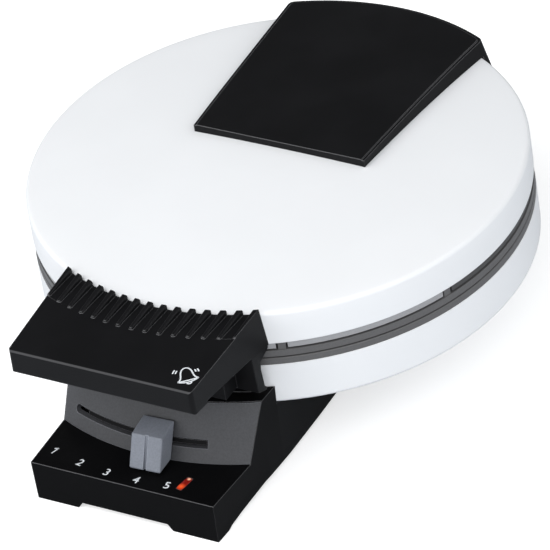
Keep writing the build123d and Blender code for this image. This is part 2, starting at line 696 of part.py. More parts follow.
KNOB_HALF = 7.4
KNOB_Z = (LEDGE_Z + 0.9, 33.0, 34.3)     # underside, top of the front face, rear edge of the top
KNOB_GAP = 0.8
KNOB_FRONT_LOW = 128.1
KNOB_FRONT_HIGH = 121.3
GROOVE_DEPTH = 1.2
with BuildPart() as slider_knob:
    with BuildSketch(control_ray(KNOB_DEG)):
        Polygon(
            (panel_radius(KNOB_Z[0]) + KNOB_GAP, KNOB_Z[0]), (KNOB_FRONT_LOW, KNOB_Z[0]),
            (KNOB_FRONT_HIGH, KNOB_Z[1]), (panel_radius(KNOB_Z[2]) + KNOB_GAP, KNOB_Z[2]), align=None,
        )
    extrude(amount=KNOB_HALF, both=True)
    fillet(slider_knob.edges(), 0.8)
    # grip groove down the front
    with BuildSketch(control_ray(KNOB_DEG)):
        Polygon(
            (KNOB_FRONT_LOW - GROOVE_DEPTH, KNOB_Z[0] - 1), (KNOB_FRONT_HIGH - GROOVE_DEPTH, KNOB_Z[1] + 2),
            (KNOB_FRONT_LOW + 2, KNOB_Z[1] + 2), (KNOB_FRONT_LOW + 2, KNOB_Z[0] - 1), align=None,
        )
    extrude(amount=0.7, both=True, mode=Mode.SUBTRACT)
    # pocket that grips the lever's end
    with BuildSketch(control_plan(LEVER_Z[0] - SET)):
        with Locations((LEVER_REACH / 2 + SET, 0)):
            Rectangle(LEVER_REACH, 2 * LEVER_HALF + 2 * SET)
    extrude(amount=LEVER_Z[1] - LEVER_Z[0] + 2 * SET, mode=Mode.SUBTRACT)
save(slider_knob, "slider_knob")

# ---------------------------------------------------------------- hinge
LID_KNUCKLE_HALF = KNUCKLE_X[0] - 0.5
ARM_UNDER_Z = UPPER_RING_Z[1] + 0.02
ARM_TOP_Z = 71.5
ARM_SCREWS = [(-11, 102.5), (11, 102.5)]
NOTCH_HALF = 19.4

with BuildPart() as hinge_pin:
    with BuildSketch(side(-KNUCKLE_X[1] + 0.5)):
        with Locations((HINGE_Y, HINGE_Z)):
            Circle(PIN_R)
    extrude(amount=2 * KNUCKLE_X[1] - 1)
    chamfer(hinge_pin.edges(), 0.4)
save(hinge_pin, "hinge_pin")

with BuildPart() as hinge_caps:
    for left in (-KNUCKLE_X[1] - 1.2, KNUCKLE_X[1] + 0.02):
        with BuildSketch(side(left)):
            with Locations((HINGE_Y, HINGE_Z)):
                Circle(4.6)
        extrude(amount=1.18)
save(hinge_caps, "hinge_caps")

with BuildPart() as hinge_arm:
    with BuildSketch(side(-LID_KNUCKLE_HALF)):
        Polygon(
            (84, ARM_UNDER_Z), (110.7, ARM_UNDER_Z), (111.3, 64), (111.3, HINGE_Z), (HINGE_Y + BARREL_R, HINGE_Z),
            (HINGE_Y + BARREL_R - 1, 66), (113, ARM_TOP_Z), (84, ARM_TOP_Z), align=None,
        )
        with Locations((HINGE_Y, HINGE_Z)):
            Circle(BARREL_R)
    extrude(amount=2 * LID_KNUCKLE_HALF)
    # lug that meets the stop on the base when the lid is fully open
    with BuildSketch(side(-8)):
        with Locations((HINGE_Y + BARREL_R, HINGE_Z)):
            Rectangle(4, 4)
    extrude(amount=16)
    with BuildSketch(side(-LID_KNUCKLE_HALF - 1)):
        with Locations((HINGE_Y, HINGE_Z)):
            Circle(PIN_R + RUN)
    extrude(amount=2 * LID_KNUCKLE_HALF + 2, mode=Mode.SUBTRACT)
    with BuildSketch(plan(60)):
        with Locations(*ARM_SCREWS):
            Circle(1.5 + SET)
    extrude(amount=20, mode=Mode.SUBTRACT)
save(hinge_arm, "hinge_arm")

screws("hinge_arm_screws", ARM_SCREWS, ARM_TOP_Z + 0.03, 8)

# ---------------------------------------------------------------- lid
RING_SCREWS = [polar(104, angle) for angle in (45, 135, 225, 315)]
COVER_BOSSES = [(-35, 95), (35, 95)]
HANDLE_SCREW_X = (-25, 25)
HANDLE_SCREW_Z = 72.0
UPPER_REFLECTOR_Z = 77.4
RING_BOSS_TOP_Z = 79.2

with BuildPart() as lid_shell:
    with BuildSketch(section()):
        with BuildLine():
            Line((BODY_R, LID_Z[0]), (BODY_R, LID_Z[1]))
            ThreePointArc((BODY_R, LID_Z[1]), (BODY_R / 2, crown_z(BODY_R / 2)), (0, LID_CROWN_Z))
            Line((0, LID_CROWN_Z), (0, LID_CROWN_Z - WALL))
            ThreePointArc(
                (0, LID_CROWN_Z - WALL), (BODY_R / 2, crown_z(BODY_R / 2) - WALL), (BODY_R - WALL, LID_Z[1] - WALL),
            )
            Line((BODY_R - WALL, LID_Z[1] - WALL), (BODY_R - WALL, LID_Z[0]))
            Line((BODY_R - WALL, LID_Z[0]), (BODY_R, LID_Z[0]))
        outline = make_face()
        fillet(outline.vertices().sort_by(Axis.X)[-2:].sort_by(Axis.Y)[-1], 2.0)
    revolve(axis=BODY_AXIS)
    with BuildSketch(plan(UPPER_RING_Z[1] + 0.1)):
        with Locations(*RING_SCREWS):
            Circle(3.3)
    extrude(amount=RING_BOSS_TOP_Z - UPPER_RING_Z[1] - 0.1)
    with BuildSketch(plan(UPPER_RING_Z[1] - 1)):
        with Locations(*RING_SCREWS):
            Circle(1.5 + SET)
    extrude(amount=9, mode=Mode.SUBTRACT)
    with BuildSketch(plan(70)):
        with Locations(*COVER_BOSSES):
            Circle(1.5 + SET)
    extrude(amount=15, mode=Mode.SUBTRACT)
    # notch for the hinge arm, and holes for the handle's screws
    with BuildSketch(plan(LID_Z[0] - 0.1)):
        with Locations((0, 108)):
            Rectangle(2 * NOTCH_HALF, 12)
    extrude(amount=ARM_TOP_Z + 0.6 - LID_Z[0], mode=Mode.SUBTRACT)
    with BuildSketch(across(-95, HANDLE_SCREW_Z)):
        with Locations(*[(x, 0) for x in HANDLE_SCREW_X]):
            Circle(1.5 + SET)
    extrude(amount=20, mode=Mode.SUBTRACT)
save(lid_shell, "lid_shell")

with BuildPart() as upper_ring:
    turned([
        (RING_IN_R, UPPER_RING_Z[0]), (109.3, UPPER_RING_Z[0]), (109.3, LID_Z[0] - 0.05), (107.3, LID_Z[0] - 0.05),
        (107.3, UPPER_RING_Z[1]), (96, UPPER_RING_Z[1]), (96, UPPER_RING_Z[1] - 0.6),
        (RING_IN_R, UPPER_RING_Z[1] - 0.6),
    ])
    for angle in TAB_ANGLES:
        with BuildSketch(plan(UPPER_RING_Z[0] - 1)):
            with Locations(Location((*polar(109.3, angle), 0), (0, 0, angle))):
                Rectangle(4.2, 5)
        extrude(amount=LID_Z[0] - UPPER_RING_Z[0] + 1.2, mode=Mode.SUBTRACT)
    with BuildSketch(plan(UPPER_RING_Z[0] - 1)):
        with Locations(*RING_SCREWS):
            Circle(3.4)
    extrude(amount=3.2, mode=Mode.SUBTRACT)
    with BuildSketch(plan(UPPER_RING_Z[0] - 1)):
        with Locations(*RING_SCREWS):
            Circle(1.5 + SET)
    extrude(amount=8, mode=Mode.SUBTRACT)
    with BuildSketch(plan(UPPER_RING_Z[1])):
        with Locations(*ARM_SCREWS):
            Circle(1.5 + SET)
    extrude(amount=-3.4, mode=Mode.SUBTRACT)
save(upper_ring, "upper_ring")

screws("ring_screws", RING_SCREWS, UPPER_RING_Z[0] + 2.17, 9, down=False)
plate("upper_plate", face_down=True)
heater("upper_heater", UPPER_BACK_Z + HEATER_TUBE_R + 0.05, 76.5)
posts("upper_posts", UPPER_BACK_Z + 0.02, UPPER_REFLECTOR_Z - 0.02, None)
screws("upper_plate_screws", POST_SPOTS, UPPER_REFLECTOR_Z + 0.83, 12.5, head_h=1.8)

with BuildPart() as upper_reflector:
    turned([
        (0, UPPER_REFLECTOR_Z), (REFLECTOR_R - 0.8, UPPER_REFLECTOR_Z), (REFLECTOR_R - 0.8, 72.6),
        (REFLECTOR_R, 72.6), (REFLECTOR_R, UPPER_REFLECTOR_Z + 0.8), (0, UPPER_REFLECTOR_Z + 0.8),
    ])
    with BuildSketch(plan(UPPER_REFLECTOR_Z - 1)):
        with Locations(*POST_SPOTS):
            Circle(1.5 + SET)
    extrude(amount=3, mode=Mode.SUBTRACT)
save(upper_reflector, "upper_reflector")

# ---------------------------------------------------------------- hinge cover
COVER_FRONT_Y = 3.1
COVER_REAR_Y = 114.3         # middle of the rear edge
COVER_CORNER_R = 113.6       # the rear corners lie this far from the body's axis
COVER_TOP_HALF = (42.4, 48.0)     # half width of the top, at its front and rear corners
COVER_SKIRT_HALF = (42.3, 55.3)   # half width at the skirt's lower edge
COVER_LEVEL_Z = 87.6         # height where the top's widths are measured
COVER_SKIRT_Z = 72.6
COVER_WALL = 2.2
COVER_STEP = (1.3, 0.45)     # the top stands inside and above its side walls by this much
COVER_TOP = ((COVER_FRONT_Y - 5, 87.62), (55, 87.78), (COVER_REAR_Y + 2, 86.0))


def cover_outline(z, inset, front_inset):
    """Plan of the cover at height z: a wedge with a round rear edge that widens downwards, most at the rear."""
    drop = (COVER_LEVEL_Z - z) / (COVER_LEVEL_Z - COVER_SKIRT_Z)
    front_half, rear_half = (
        top + (skirt - top) * drop - inset for top, skirt in zip(COVER_TOP_HALF, COVER_SKIRT_HALF)
    )
    front_y, rear_y = COVER_FRONT_Y + front_inset, COVER_REAR_Y - inset
    corner_y = sqrt(COVER_CORNER_R ** 2 - (rear_half + inset) ** 2) - inset
    with BuildSketch(plan(z)) as outline:
        with BuildLine():
            Polyline((-rear_half, corner_y), (-front_half, front_y), (front_half, front_y), (rear_half, corner_y))
            ThreePointArc((rear_half, corner_y), (0, rear_y), (-rear_half, corner_y))
        make_face()
        fillet(outline.vertices().sort_by(Axis.Y)[-2:], 3.2 - inset)
    return outline.sketch


def cover_block(floor_z, inset, front_inset, drop):
    """Solid inside the cover's outline, under its crowned top lowered by drop."""
    low, mid, high = [(y, z - drop) for y, z in COVER_TOP]
    with BuildPart() as block:
        loft([cover_outline(floor_z, inset, front_inset), cover_outline(95, inset, front_inset)], ruled=True)
        with BuildSketch(side(-60)):
            with BuildLine():
                ThreePointArc(low, mid, high)
                Polyline(high, (high[0], 120), (low[0], 120), low)
            make_face()
        extrude(amount=120, mode=Mode.SUBTRACT)
    return block.part


def cut_lid_space(gap):
    """Removes the lid's outer shape, grown by gap."""
    with BuildSketch(section()) as shape:
        with BuildLine():
            edge, top = (BODY_R + gap, LID_Z[1] + gap), (0, LID_CROWN_Z + gap)
            Polyline(top, (0, 40), (BODY_R + gap, 40), edge)
            ThreePointArc(edge, (BODY_R / 2, crown_z(BODY_R / 2) + gap), top)
        make_face()
    revolve(shape.sketch, axis=BODY_AXIS, mode=Mode.SUBTRACT)


with BuildPart() as hinge_cover:
    add(cover_block(COVER_SKIRT_Z, 0, 0, COVER_STEP[1]))
    add(cover_block(80, COVER_STEP[0], 0, 0))
    add(cover_block(COVER_SKIRT_Z - 2, COVER_WALL, COVER_WALL, COVER_WALL), mode=Mode.SUBTRACT)
    with BuildSketch(plan(78)):
        with Locations(*COVER_BOSSES):
            Circle(3.4)
    extrude(amount=7.2)
    cut_lid_space(0.1)
    with BuildSketch(plan(77)):
        with Locations(*COVER_BOSSES):
            Circle(1.5 + SET)
    extrude(amount=7.4, mode=Mode.SUBTRACT)
save(hinge_cover, "hinge_cover")

screws("hinge_cover_screws", COVER_BOSSES, 78.2, 6, down=False)

# ---------------------------------------------------------------- handle
HANDLE_FRONT_Z = (67.3, 79.0)
HANDLE_REAR_TOP_Z = 82.6
HANDLE_SLOPE = (HANDLE_REAR_TOP_Z - HANDLE_FRONT_Z[1]) / 55.0
UNDER_STEP = (-145.0, 68.2)       # behind this line the underside is raised to this height
UNDER_SLOPE = 0.072
SKIRT_HALF = 37.0
SKIRT_FRONT_Y = -120.4
SKIRT_UNDER_Z = 47.6
GRIP_CORNER_R = 2.0          # rounding of the grip's upright corners
GRIP_EDGE_R = 1.2            # rounding of its front edges
RIB_FRONT_R = 127.4
RIB_HALF = (0.95, 1.45)      # half the width of a rib, at its nose and at the lid
RIB_TOP_Z = (81.85, 83.05)   # top of a rib, at its nose and at the lid
RIB_EDGE_R = 0.65
LINER_Y = (-144.0, -125.0)   # opening in the underside, closed by the liner
LINER_SCREW_Y = -138.0
LINER_SCREWS = [(-28, LINER_SCREW_Y), (28, LINER_SCREW_Y)]


def handle_top(y):
    """Height of the handle's top face."""
    return HANDLE_FRONT_Z[1] + (y - FRONT) * HANDLE_SLOPE


def handle_under(y):
    """Height of the handle's underside behind its front edge."""
    return UNDER_STEP[1] - (y - UNDER_STEP[0]) * UNDER_SLOPE


def grip_rib(x):
    """One grip rib: a bar that narrows and falls from the lid's edge to a round nose on an arc in front."""
    front = -sqrt(RIB_FRONT_R ** 2 - x ** 2)
    back = -sqrt(BODY_R ** 2 - x ** 2) + 2
    with BuildPart() as rib:
        with BuildSketch(side(x - RIB_HALF[1])):
            Polygon((front, 78), (front, RIB_TOP_Z[0]), (back, RIB_TOP_Z[1]), (back, 78), align=None)
        extrude(amount=2 * RIB_HALF[1])
        with BuildSketch(plan(78)):
            Polygon(
                (x - RIB_HALF[0], front), (x + RIB_HALF[0], front), (x + RIB_HALF[1], back), (x - RIB_HALF[1], back),
                align=None,
            )
        extrude(amount=10, mode=Mode.INTERSECT)
        raised = rib.edges().filter_by(lambda e: e.center().Z > RIB_TOP_Z[0] - 0.2 + DATUM_Z).sort_by(Axis.Y)[:3]
        nose = rib.edges().filter_by(Axis.Z).sort_by(Axis.Y)[:2]
        fillet(raised + nose, RIB_EDGE_R)
    return rib.part


def handle_half(z):
    """Plan of the handle at height z; its sides flare towards the lid, and more so lower down."""
    flare = min((84 - z) / 19, 1)
    front, rear = 44.3 + 0.3 * flare, 46.6 + 1.7 * flare
    with BuildSketch(plan(z)) as outline:
        Polygon((-front, FRONT), (front, FRONT), (rear, -97), (-rear, -97), align=None)
        fillet(outline.vertices().group_by(Axis.Y)[0], GRIP_CORNER_R)
    return outline.sketch


with BuildPart() as handle_bounds:
    loft([handle_half(z) for z in (44, 65, 84)], ruled=True)

with BuildPart() as handle:
    # gripping block
    with BuildSketch(side(-50)) as grip:
        Polygon(
            (FRONT, HANDLE_FRONT_Z[0]), (FRONT, HANDLE_FRONT_Z[1]), (-97, handle_top(-97)),
            (-97, 64.2), (-112.3, handle_under(-112.3)), UNDER_STEP,
            (UNDER_STEP[0] - 0.6, HANDLE_FRONT_Z[0] - 0.2), align=None,
        )
        fillet(grip.vertices().group_by(Axis.X)[0], GRIP_EDGE_R)
    extrude(amount=100)
    # two side legs and the deeper middle of the skirt
    for left in (-50, SKIRT_HALF):
        with BuildSketch(side(left)):
            Polygon(
                (-111.9, 66.5), (-110.8, 46.9), (-105.3, 44.9), (-104.6, 45.9), (-106.1, 47.5), (-106.9, 56.5),
                (-106.4, 60.3), (-98, 64.2), (-98, 66.5), align=None,
            )
        extrude(amount=50 - SKIRT_HALF)
    with BuildSketch(side(-SKIRT_HALF)):
        Polygon(
            (SKIRT_FRONT_Y, 68), (SKIRT_FRONT_Y, SKIRT_UNDER_Z), (-100, SKIRT_UNDER_Z), (-100, 68), align=None,
        )
    extrude(amount=2 * SKIRT_HALF)
    # shallow floor between the ribs
    with BuildSketch(section()):
        Polygon((108, 80.5), (RIB_FRONT_R, 81.15), (RIB_FRONT_R, 95), (108, 95), align=None)
    revolve(axis=BODY_AXIS, mode=Mode.SUBTRACT)
    for index in range(RIB_COUNT):
        add(grip_rib((index - (RIB_COUNT - 1) / 2) * RIB_PITCH))
    add(handle_bounds.part, mode=Mode.INTERSECT)
    # room for the lid above and for the lower half below
    with BuildSketch(plan(LID_Z[0] - 0.2)):
        Circle(BODY_R + 0.12)
    extrude(amount=30, mode=Mode.SUBTRACT)
    with BuildSketch(plan(40)):
        Circle(BODY_R + 0.8)
    extrude(amount=LID_Z[0] - 0.2 - 40, mode=Mode.SUBTRACT)
    # hollow grip, closed by the liner, and hollow skirt
    with BuildSketch(side(-41)):
        Polygon(
            (-151.5, 69.6), (-151.5, 76.0), (LINER_Y[1], 77.8), (LINER_Y[1], 60), (LINER_Y[0], 60),
            (LINER_Y[0], 69.6), align=None,
        )
    extrude(amount=82, mode=Mode.SUBTRACT)
    with BuildSketch(side(-34)):
        Polygon((-118, 44), (-118, 61), (-100, 61), (-100, 44), align=None)
    extrude(amount=68, mode=Mode.SUBTRACT)
    with BuildSketch(plan(handle_under(LINER_SCREW_Y) + 2.9)):
        with Locations(*LINER_SCREWS):
            Circle(3.4)
    extrude(amount=7)
    with BuildSketch(plan(66)):
        with Locations(*LINER_SCREWS):
            Circle(1.5 + SET)
    extrude(amount=11, mode=Mode.SUBTRACT)
    with BuildSketch(across(-100, HANDLE_SCREW_Z)):
        with Locations(*[(x, 0) for x in HANDLE_SCREW_X]):
            Circle(1.5 + SET)
    extrude(amount=21.5, mode=Mode.SUBTRACT)
save(handle, "handle")

with BuildPart() as handle_liner:
    with BuildSketch(side(-40.8)):
        near, far = LINER_Y[0] + 0.2, LINER_Y[1] - 0.2
        Polygon(
            (near, handle_under(near) + 0.2), (far, handle_under(far) + 0.2),
            (far, handle_under(far) + 2.2), (near, handle_under(near) + 2.2), align=None,
        )
    extrude(amount=81.6)
    with BuildSketch(plan(60)):
        with Locations(*LINER_SCREWS):
            Circle(1.5 + SET)
    extrude(amount=15, mode=Mode.SUBTRACT)
save(handle_liner, "handle_liner")

screws("liner_screws", LINER_SCREWS, handle_under(LINER_SCREW_Y) - 0.3, 9, down=False, head_r=2.8, head_h=1.3)

with BuildPart() as handle_screws:
    with BuildSketch(across(-103.7, HANDLE_SCREW_Z)):
        with Locations(*[(x, 0) for x in HANDLE_SCREW_X]):
            Circle(1.5)
    extrude(amount=17)
    with BuildSketch(across(-101.8, HANDLE_SCREW_Z)):
        with Locations(*[(x, 0) for x in HANDLE_SCREW_X]):
            Circle(3)
    extrude(amount=1.95)
save(handle_screws, "handle_screws")
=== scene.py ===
"""Finishes, lid skin, printed marks and studio for an electric krumkake iron, laid out as a Blender add-on.

Everything is in metres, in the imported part's own frame: +Z up, the handle towards -Y, the hinge at +Y.
"""

import json
from math import cos, pi, radians, sin

import bmesh
import bpy
import numpy as np
from bpy.props import FloatProperty, FloatVectorProperty, PointerProperty
from mathutils import Matrix, Vector


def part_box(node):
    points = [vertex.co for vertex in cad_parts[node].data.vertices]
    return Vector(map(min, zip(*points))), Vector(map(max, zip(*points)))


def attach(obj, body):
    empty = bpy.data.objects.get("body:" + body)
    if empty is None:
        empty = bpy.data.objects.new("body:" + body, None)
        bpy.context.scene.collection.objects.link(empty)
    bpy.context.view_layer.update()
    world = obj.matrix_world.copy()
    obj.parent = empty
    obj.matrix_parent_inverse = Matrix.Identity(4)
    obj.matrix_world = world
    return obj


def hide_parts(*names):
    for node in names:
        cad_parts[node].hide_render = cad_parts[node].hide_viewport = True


bl_info = {
    "name": "Krumkake iron finishes",
    "version": (1, 0, 0),
    "blender": (4, 5, 0),
    "location": "View3D > Sidebar > Krumkake iron",
    "description": "Dresses the packed krumkake iron: lid skin, printed scale, materials and studio",
    "category": "Object",
}

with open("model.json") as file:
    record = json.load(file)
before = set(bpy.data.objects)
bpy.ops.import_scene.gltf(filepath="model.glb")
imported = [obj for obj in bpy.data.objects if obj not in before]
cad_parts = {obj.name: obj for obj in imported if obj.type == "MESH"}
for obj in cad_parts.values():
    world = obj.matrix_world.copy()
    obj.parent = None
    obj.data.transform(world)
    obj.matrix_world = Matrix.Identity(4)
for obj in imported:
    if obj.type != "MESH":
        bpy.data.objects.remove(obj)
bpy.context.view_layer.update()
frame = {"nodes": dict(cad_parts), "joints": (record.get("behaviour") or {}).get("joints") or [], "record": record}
MM = 0.001

# ---------------------------------------------------------------- places on the iron
LID_LOW, LID_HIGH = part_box("lid_shell")
BODY_R = (LID_HIGH.x - LID_LOW.x) / 2
BODY_Y = LID_HIGH.y - BODY_R
SLOT_OF = {part["node"]: part["material_slot"] for part in frame["record"]["subparts"]}
REAR_TAB_DEG = -21.3         # the rear pair of the rings' centring tabs, from +X
SLIDER_Y = next(joint for joint in frame["joints"] if joint["name"] == "browning_slider")["pos_m"][1]


def colour(name, text, default):
    """A linear colour that the user may change."""
    return FloatVectorProperty(name=name, description=text, default=default, subtype="COLOR", min=0, max=1)


def length(name, text, default):
    """A length in metres that the user may change."""
    return FloatProperty(name=name, description=text, default=default, min=0, unit="LENGTH", precision=5)


def turn(name, text, default):
    """An angle that the user may change."""
    return FloatProperty(name=name, description=text, default=radians(default), subtype="ANGLE")


# ---------------------------------------------------------------- settings
class KrumkakeColours(bpy.types.PropertyGroup):
    """Base colours of the iron's finishes."""

    shell: colour("Shell", "White lid and lower housing", (0.86, 0.868, 0.882))
    black: colour("Black plastic", "Handle, hinge cover and base", (0.0070, 0.0070, 0.0078))
    panel: colour("Panel", "Curved control panel", (0.047, 0.048, 0.053))
    knob: colour("Knob", "Slider knob", (0.195, 0.21, 0.245))
    ring: colour("Lower ring", "Heat-proof rings round the lower plate", (0.105, 0.103, 0.104))
    upper_ring: colour("Light band", "Band round the front of the upper ring", (0.34, 0.34, 0.35))
    window: colour("Window", "Red window of the ready light", (0.20, 0.008, 0.004))
    ink: colour("Print", "White printed marks", (0.78, 0.81, 0.84))


class KrumkakeSizes(bpy.types.PropertyGroup):
    """Sizes of the skin, the marks and the fine relief."""

    crown: length("Crown", "Height of the lid's dome above its rim", 3.7 * MM)
    wall: length("Wall", "Thickness of the lid's wall", 2.5 * MM)
    rim: length("Rim", "Rounding of the lid's rim", 2.0 * MM)
    notch_half: length("Notch", "Half the width of the notch for the hinge arm", 19.4 * MM)
    notch_top: length("Notch height", "Height of the notch above the lid's lower edge", 7.6 * MM)
    digit: length("Digits", "Height of the scale's digits", 4.3 * MM)
    scale_reach: length("Scale", "Distance of the digits from the slider's axis", 133.2 * MM)
    bell: length("Bell", "Width of the printed bell", 8.9 * MM)
    bell_turn: turn("Bell turn", "Turn of the printed bell on the handle", 39.3)
    ink_proud: length("Print thickness", "How far printed marks stand off the plastic", 0.05 * MM)
    grain: length("Grain", "Spacing of the black plastic's moulded grain", 0.5 * MM)
    edge: length("Edge", "Radius of the moulded edges", 0.55 * MM)


# ---------------------------------------------------------------- node kit
class Value:
    """An output socket in a node tree; arithmetic on it adds Math nodes."""

    def __init__(self, nodes, socket):
        self.nodes = nodes
        self.socket = socket

    def math(self, operation, *terms):
        return self.nodes.node("ShaderNodeMath", {"operation": operation}, dict(enumerate(terms)))

    def __add__(self, other):
        return self.math("ADD", self, other)

    def __sub__(self, other):
        return self.math("SUBTRACT", self, other)

    def __rsub__(self, other):
        return self.math("SUBTRACT", other, self)

    def __mul__(self, other):
        return self.math("MULTIPLY", self, other)

    __radd__ = __add__
    __rmul__ = __mul__

    def step(self, low, high):
        """0 below low, 1 above high, smooth between them; falls instead when low is above high."""
        settings = {"interpolation_type": "SMOOTHSTEP"}
        return self.nodes.node("ShaderNodeMapRange", settings, {0: self, 1: low, 2: high, 3: 0.0, 4: 1.0})


class Nodes:
    """A node tree under construction."""

    def __init__(self, tree):
        self.tree = tree

    def plug(self, socket, value):
        """Puts a number, a colour or another node's output into a socket."""
        if isinstance(value, Value):
            self.tree.links.new(value.socket, socket)
        else:
            socket.default_value = value

    def node(self, kind, settings=None, inputs=None, output=0):
        """Adds any node: its type, its settings, then the values or links of its sockets."""
        made = self.tree.nodes.new(kind)
        for key, value in (settings or {}).items():
            setattr(made, key, value)
        for key, value in (inputs or {}).items():
            self.plug(made.inputs[key], value)
        return Value(self, made.outputs[output])

    def mix(self, factor, low, high):
        """Blend of two colours."""
        low, high = (c if isinstance(c, Value) else (*c[:3], 1.0) for c in (low, high))
        return self.node("ShaderNodeMix", {"data_type": "RGBA"}, {0: factor, 6: low, 7: high}, output=2)

    def dot(self, first, second):
        """Dot product of two vectors."""
        settings = {"operation": "DOT_PRODUCT"}
        return self.node("ShaderNodeVectorMath", settings, {0: first, 1: second}, output="Value")


HIGHLIGHT_TOWARDS = (-0.3, -0.5, 0.81)    # painted highlight: strongest on edges that face this way, up to the front left
EDGE_BEND = (0.998, 0.93)              # cosine between rounded and flat normal: on an open face, on an edge
EDGE_FACING = (0.05, 0.75)             # cosine to that direction: no painted highlight, full painted highlight
SLOPE_FACING = (0.88, 0.96)            # cosine to a slope's direction: beside it, on it


class Paint(Nodes):
    """A material under construction: its node tree and its Principled shader."""

    def __init__(self, name, base_color, roughness, **constants):
        self.material = bpy.data.materials.new(name)
        self.material.use_nodes = True
        super().__init__(self.material.node_tree)
        self.shader = next(n for n in self.tree.nodes if n.type == "BSDF_PRINCIPLED")
        self.material.diffuse_color = (*base_color, 1.0)
        self.set("Base Color", (*base_color, 1.0))
        self.set("Roughness", roughness)
        for socket, value in constants.items():
            self.set(socket.replace("_", " "), value)

    def set(self, socket, value):
        """Sets one socket of the Principled shader."""
        self.plug(self.shader.inputs[socket], value)

    def place(self, centre=(0, 0, 0), scale=(1, 1, 1)):
        """Object coordinates, in metres, centred on a point and stretched."""
        spot = self.node("ShaderNodeTexCoord", output="Object")
        shift = tuple(-c * s for c, s in zip(centre, scale))
        return self.node("ShaderNodeMapping", None, {"Vector": spot, "Location": shift, "Scale": scale})

    def distance(self, centre, scale=(1, 1, 1)):
        """Distance in metres from a point, along the axes that the scale keeps."""
        spot = self.place(centre, scale)
        return self.node("ShaderNodeVectorMath", {"operation": "LENGTH"}, {0: spot}, output="Value")

    def noise(self, spacing, detail, vector=None):
        """Cloudy noise with features about spacing metres apart, from 0 to 1."""
        inputs = {"Vector": vector or self.place(), "Scale": 1 / spacing, "Detail": detail}
        return self.node("ShaderNodeTexNoise", None, inputs)

    def round_edges(self, radius):
        """Normal that rounds sharp edges off by radius metres."""
        return self.node("ShaderNodeBevel", {"samples": 6}, {"Radius": radius})

    def facing(self, normal, towards):
        """Cosine between a normal and a unit vector that moves with the piece."""
        to_piece = {"vector_type": "NORMAL", "convert_from": "WORLD", "convert_to": "OBJECT"}
        return self.dot(self.node("ShaderNodeVectorTransform", to_piece, {0: normal}), towards)

    def edge_mask(self, radius):
        """Painted highlight along edges: 1 along edges that face up, less along those that face the front or the
        left, 0 along the others and on open faces.
        """
        flat = self.node("ShaderNodeNewGeometry", output="Normal")
        rounded = self.round_edges(radius)
        bent = self.dot(rounded, flat).step(*EDGE_BEND)
        return bent * self.facing(rounded, HIGHLIGHT_TOWARDS).step(*EDGE_FACING)

    def slope_mask(self, towards):
        """1 where the surface itself faces along a unit vector, 0 from about 28 degrees away from it."""
        flat = self.node("ShaderNodeNewGeometry", output="Normal")
        return self.facing(flat, towards).step(*SLOPE_FACING)

    def bump(self, height, depth, normal):
        """Relief of the given height field, depth metres deep, over a base normal."""
        inputs = {"Height": height, "Distance": depth, "Strength": 1.0, "Normal": normal}
        self.set("Normal", self.node("ShaderNodeBump", None, inputs))


def shade(tint, factor):
    """A darker or lighter version of a colour."""
    return tuple(min(1.0, channel * factor) for channel in tint)


# ---------------------------------------------------------------- finishes
EDGE_HIGHLIGHT_BLACK = (0.15, 0.15, 0.155)     # colour painted on the edges of black plastic as a highlight
FILLET_HIGHLIGHT = 0.35                   # strength of the painted highlight on a fillet, where 1 is that on an edge
HANDLE_FILLET = (0, -0.72, 0.69)       # the way the fillet along the handle's front edge faces; it gets a painted highlight
WINDOW_DIM = (0.05, 0.001, 0.0005)     # glow of the red window away from its lamp
WINDOW_LIT = (0.80, 0.10, 0.02)        # its glow over the lamp
WINDOW_PAINTED_GLINT = (1.0, 0.62, 0.40)       # and at the painted glint, a painted highlight

# Finishes with no colour in the settings, by material slot: name of the material, colour, roughness, spacing
# of the grain, radius of the edges, gloss. Those of the metals end with the spacing of the rolling marks.
PLAIN_FINISHES = {
    "inner_black": ("inner_black", (0.012, 0.012, 0.013), 0.5, 0.8 * MM, 0.3 * MM, 0.3),
    "rubber": ("rubber", (0.015, 0.015, 0.015), 0.75, 0.6 * MM, 0.3 * MM, 0.3),
    "board_green": ("board_lacquer", (0.02, 0.12, 0.04), 0.3, 1.0 * MM, 0.2 * MM, 0.5),
    "lamp_glow": ("lamp_glass", (0.8, 0.25, 0.15), 0.2, 1.0 * MM, 0.2 * MM, 0.5),
    "terminal_white": ("terminal_white", (0.7, 0.7, 0.66), 0.45, 1.0 * MM, 0.2 * MM, 0.5),
}
METAL_FINISHES = {
    "sheet_aluminium": ("sheet_aluminium", (0.82, 0.82, 0.83), 0.35, 0.6 * MM),
    "steel": ("zinc_steel", (0.62, 0.62, 0.63), 0.35, 0.4 * MM),
    "heater_steel": ("heater_steel", (0.22, 0.20, 0.18), 0.45, 0.8 * MM),
}
PLATE_COATING = (0.035, 0.035, 0.037)  # colour of the baking plates' non-stick coating


def gloss_white(name, tint):
    """Satin white moulded plastic: faint orange peel and a slightly uneven gloss."""
    paint = Paint(name, tint, 0.44, Coat_Weight=0.03, Coat_Roughness=0.25, Specular_IOR_Level=0.14)
    cloud = paint.noise(spacing=45 * MM, detail=3.0)
    orange_peel = paint.noise(spacing=2.8 * MM, detail=1.0)
    paint.set("Base Color", paint.mix(cloud.step(0.35, 0.7), shade(tint, 0.985), tint))
    paint.set("Roughness", 0.4 + 0.07 * cloud)
    paint.bump(orange_peel, depth=0.01 * MM, normal=paint.round_edges(0.5 * MM))
    return paint.material


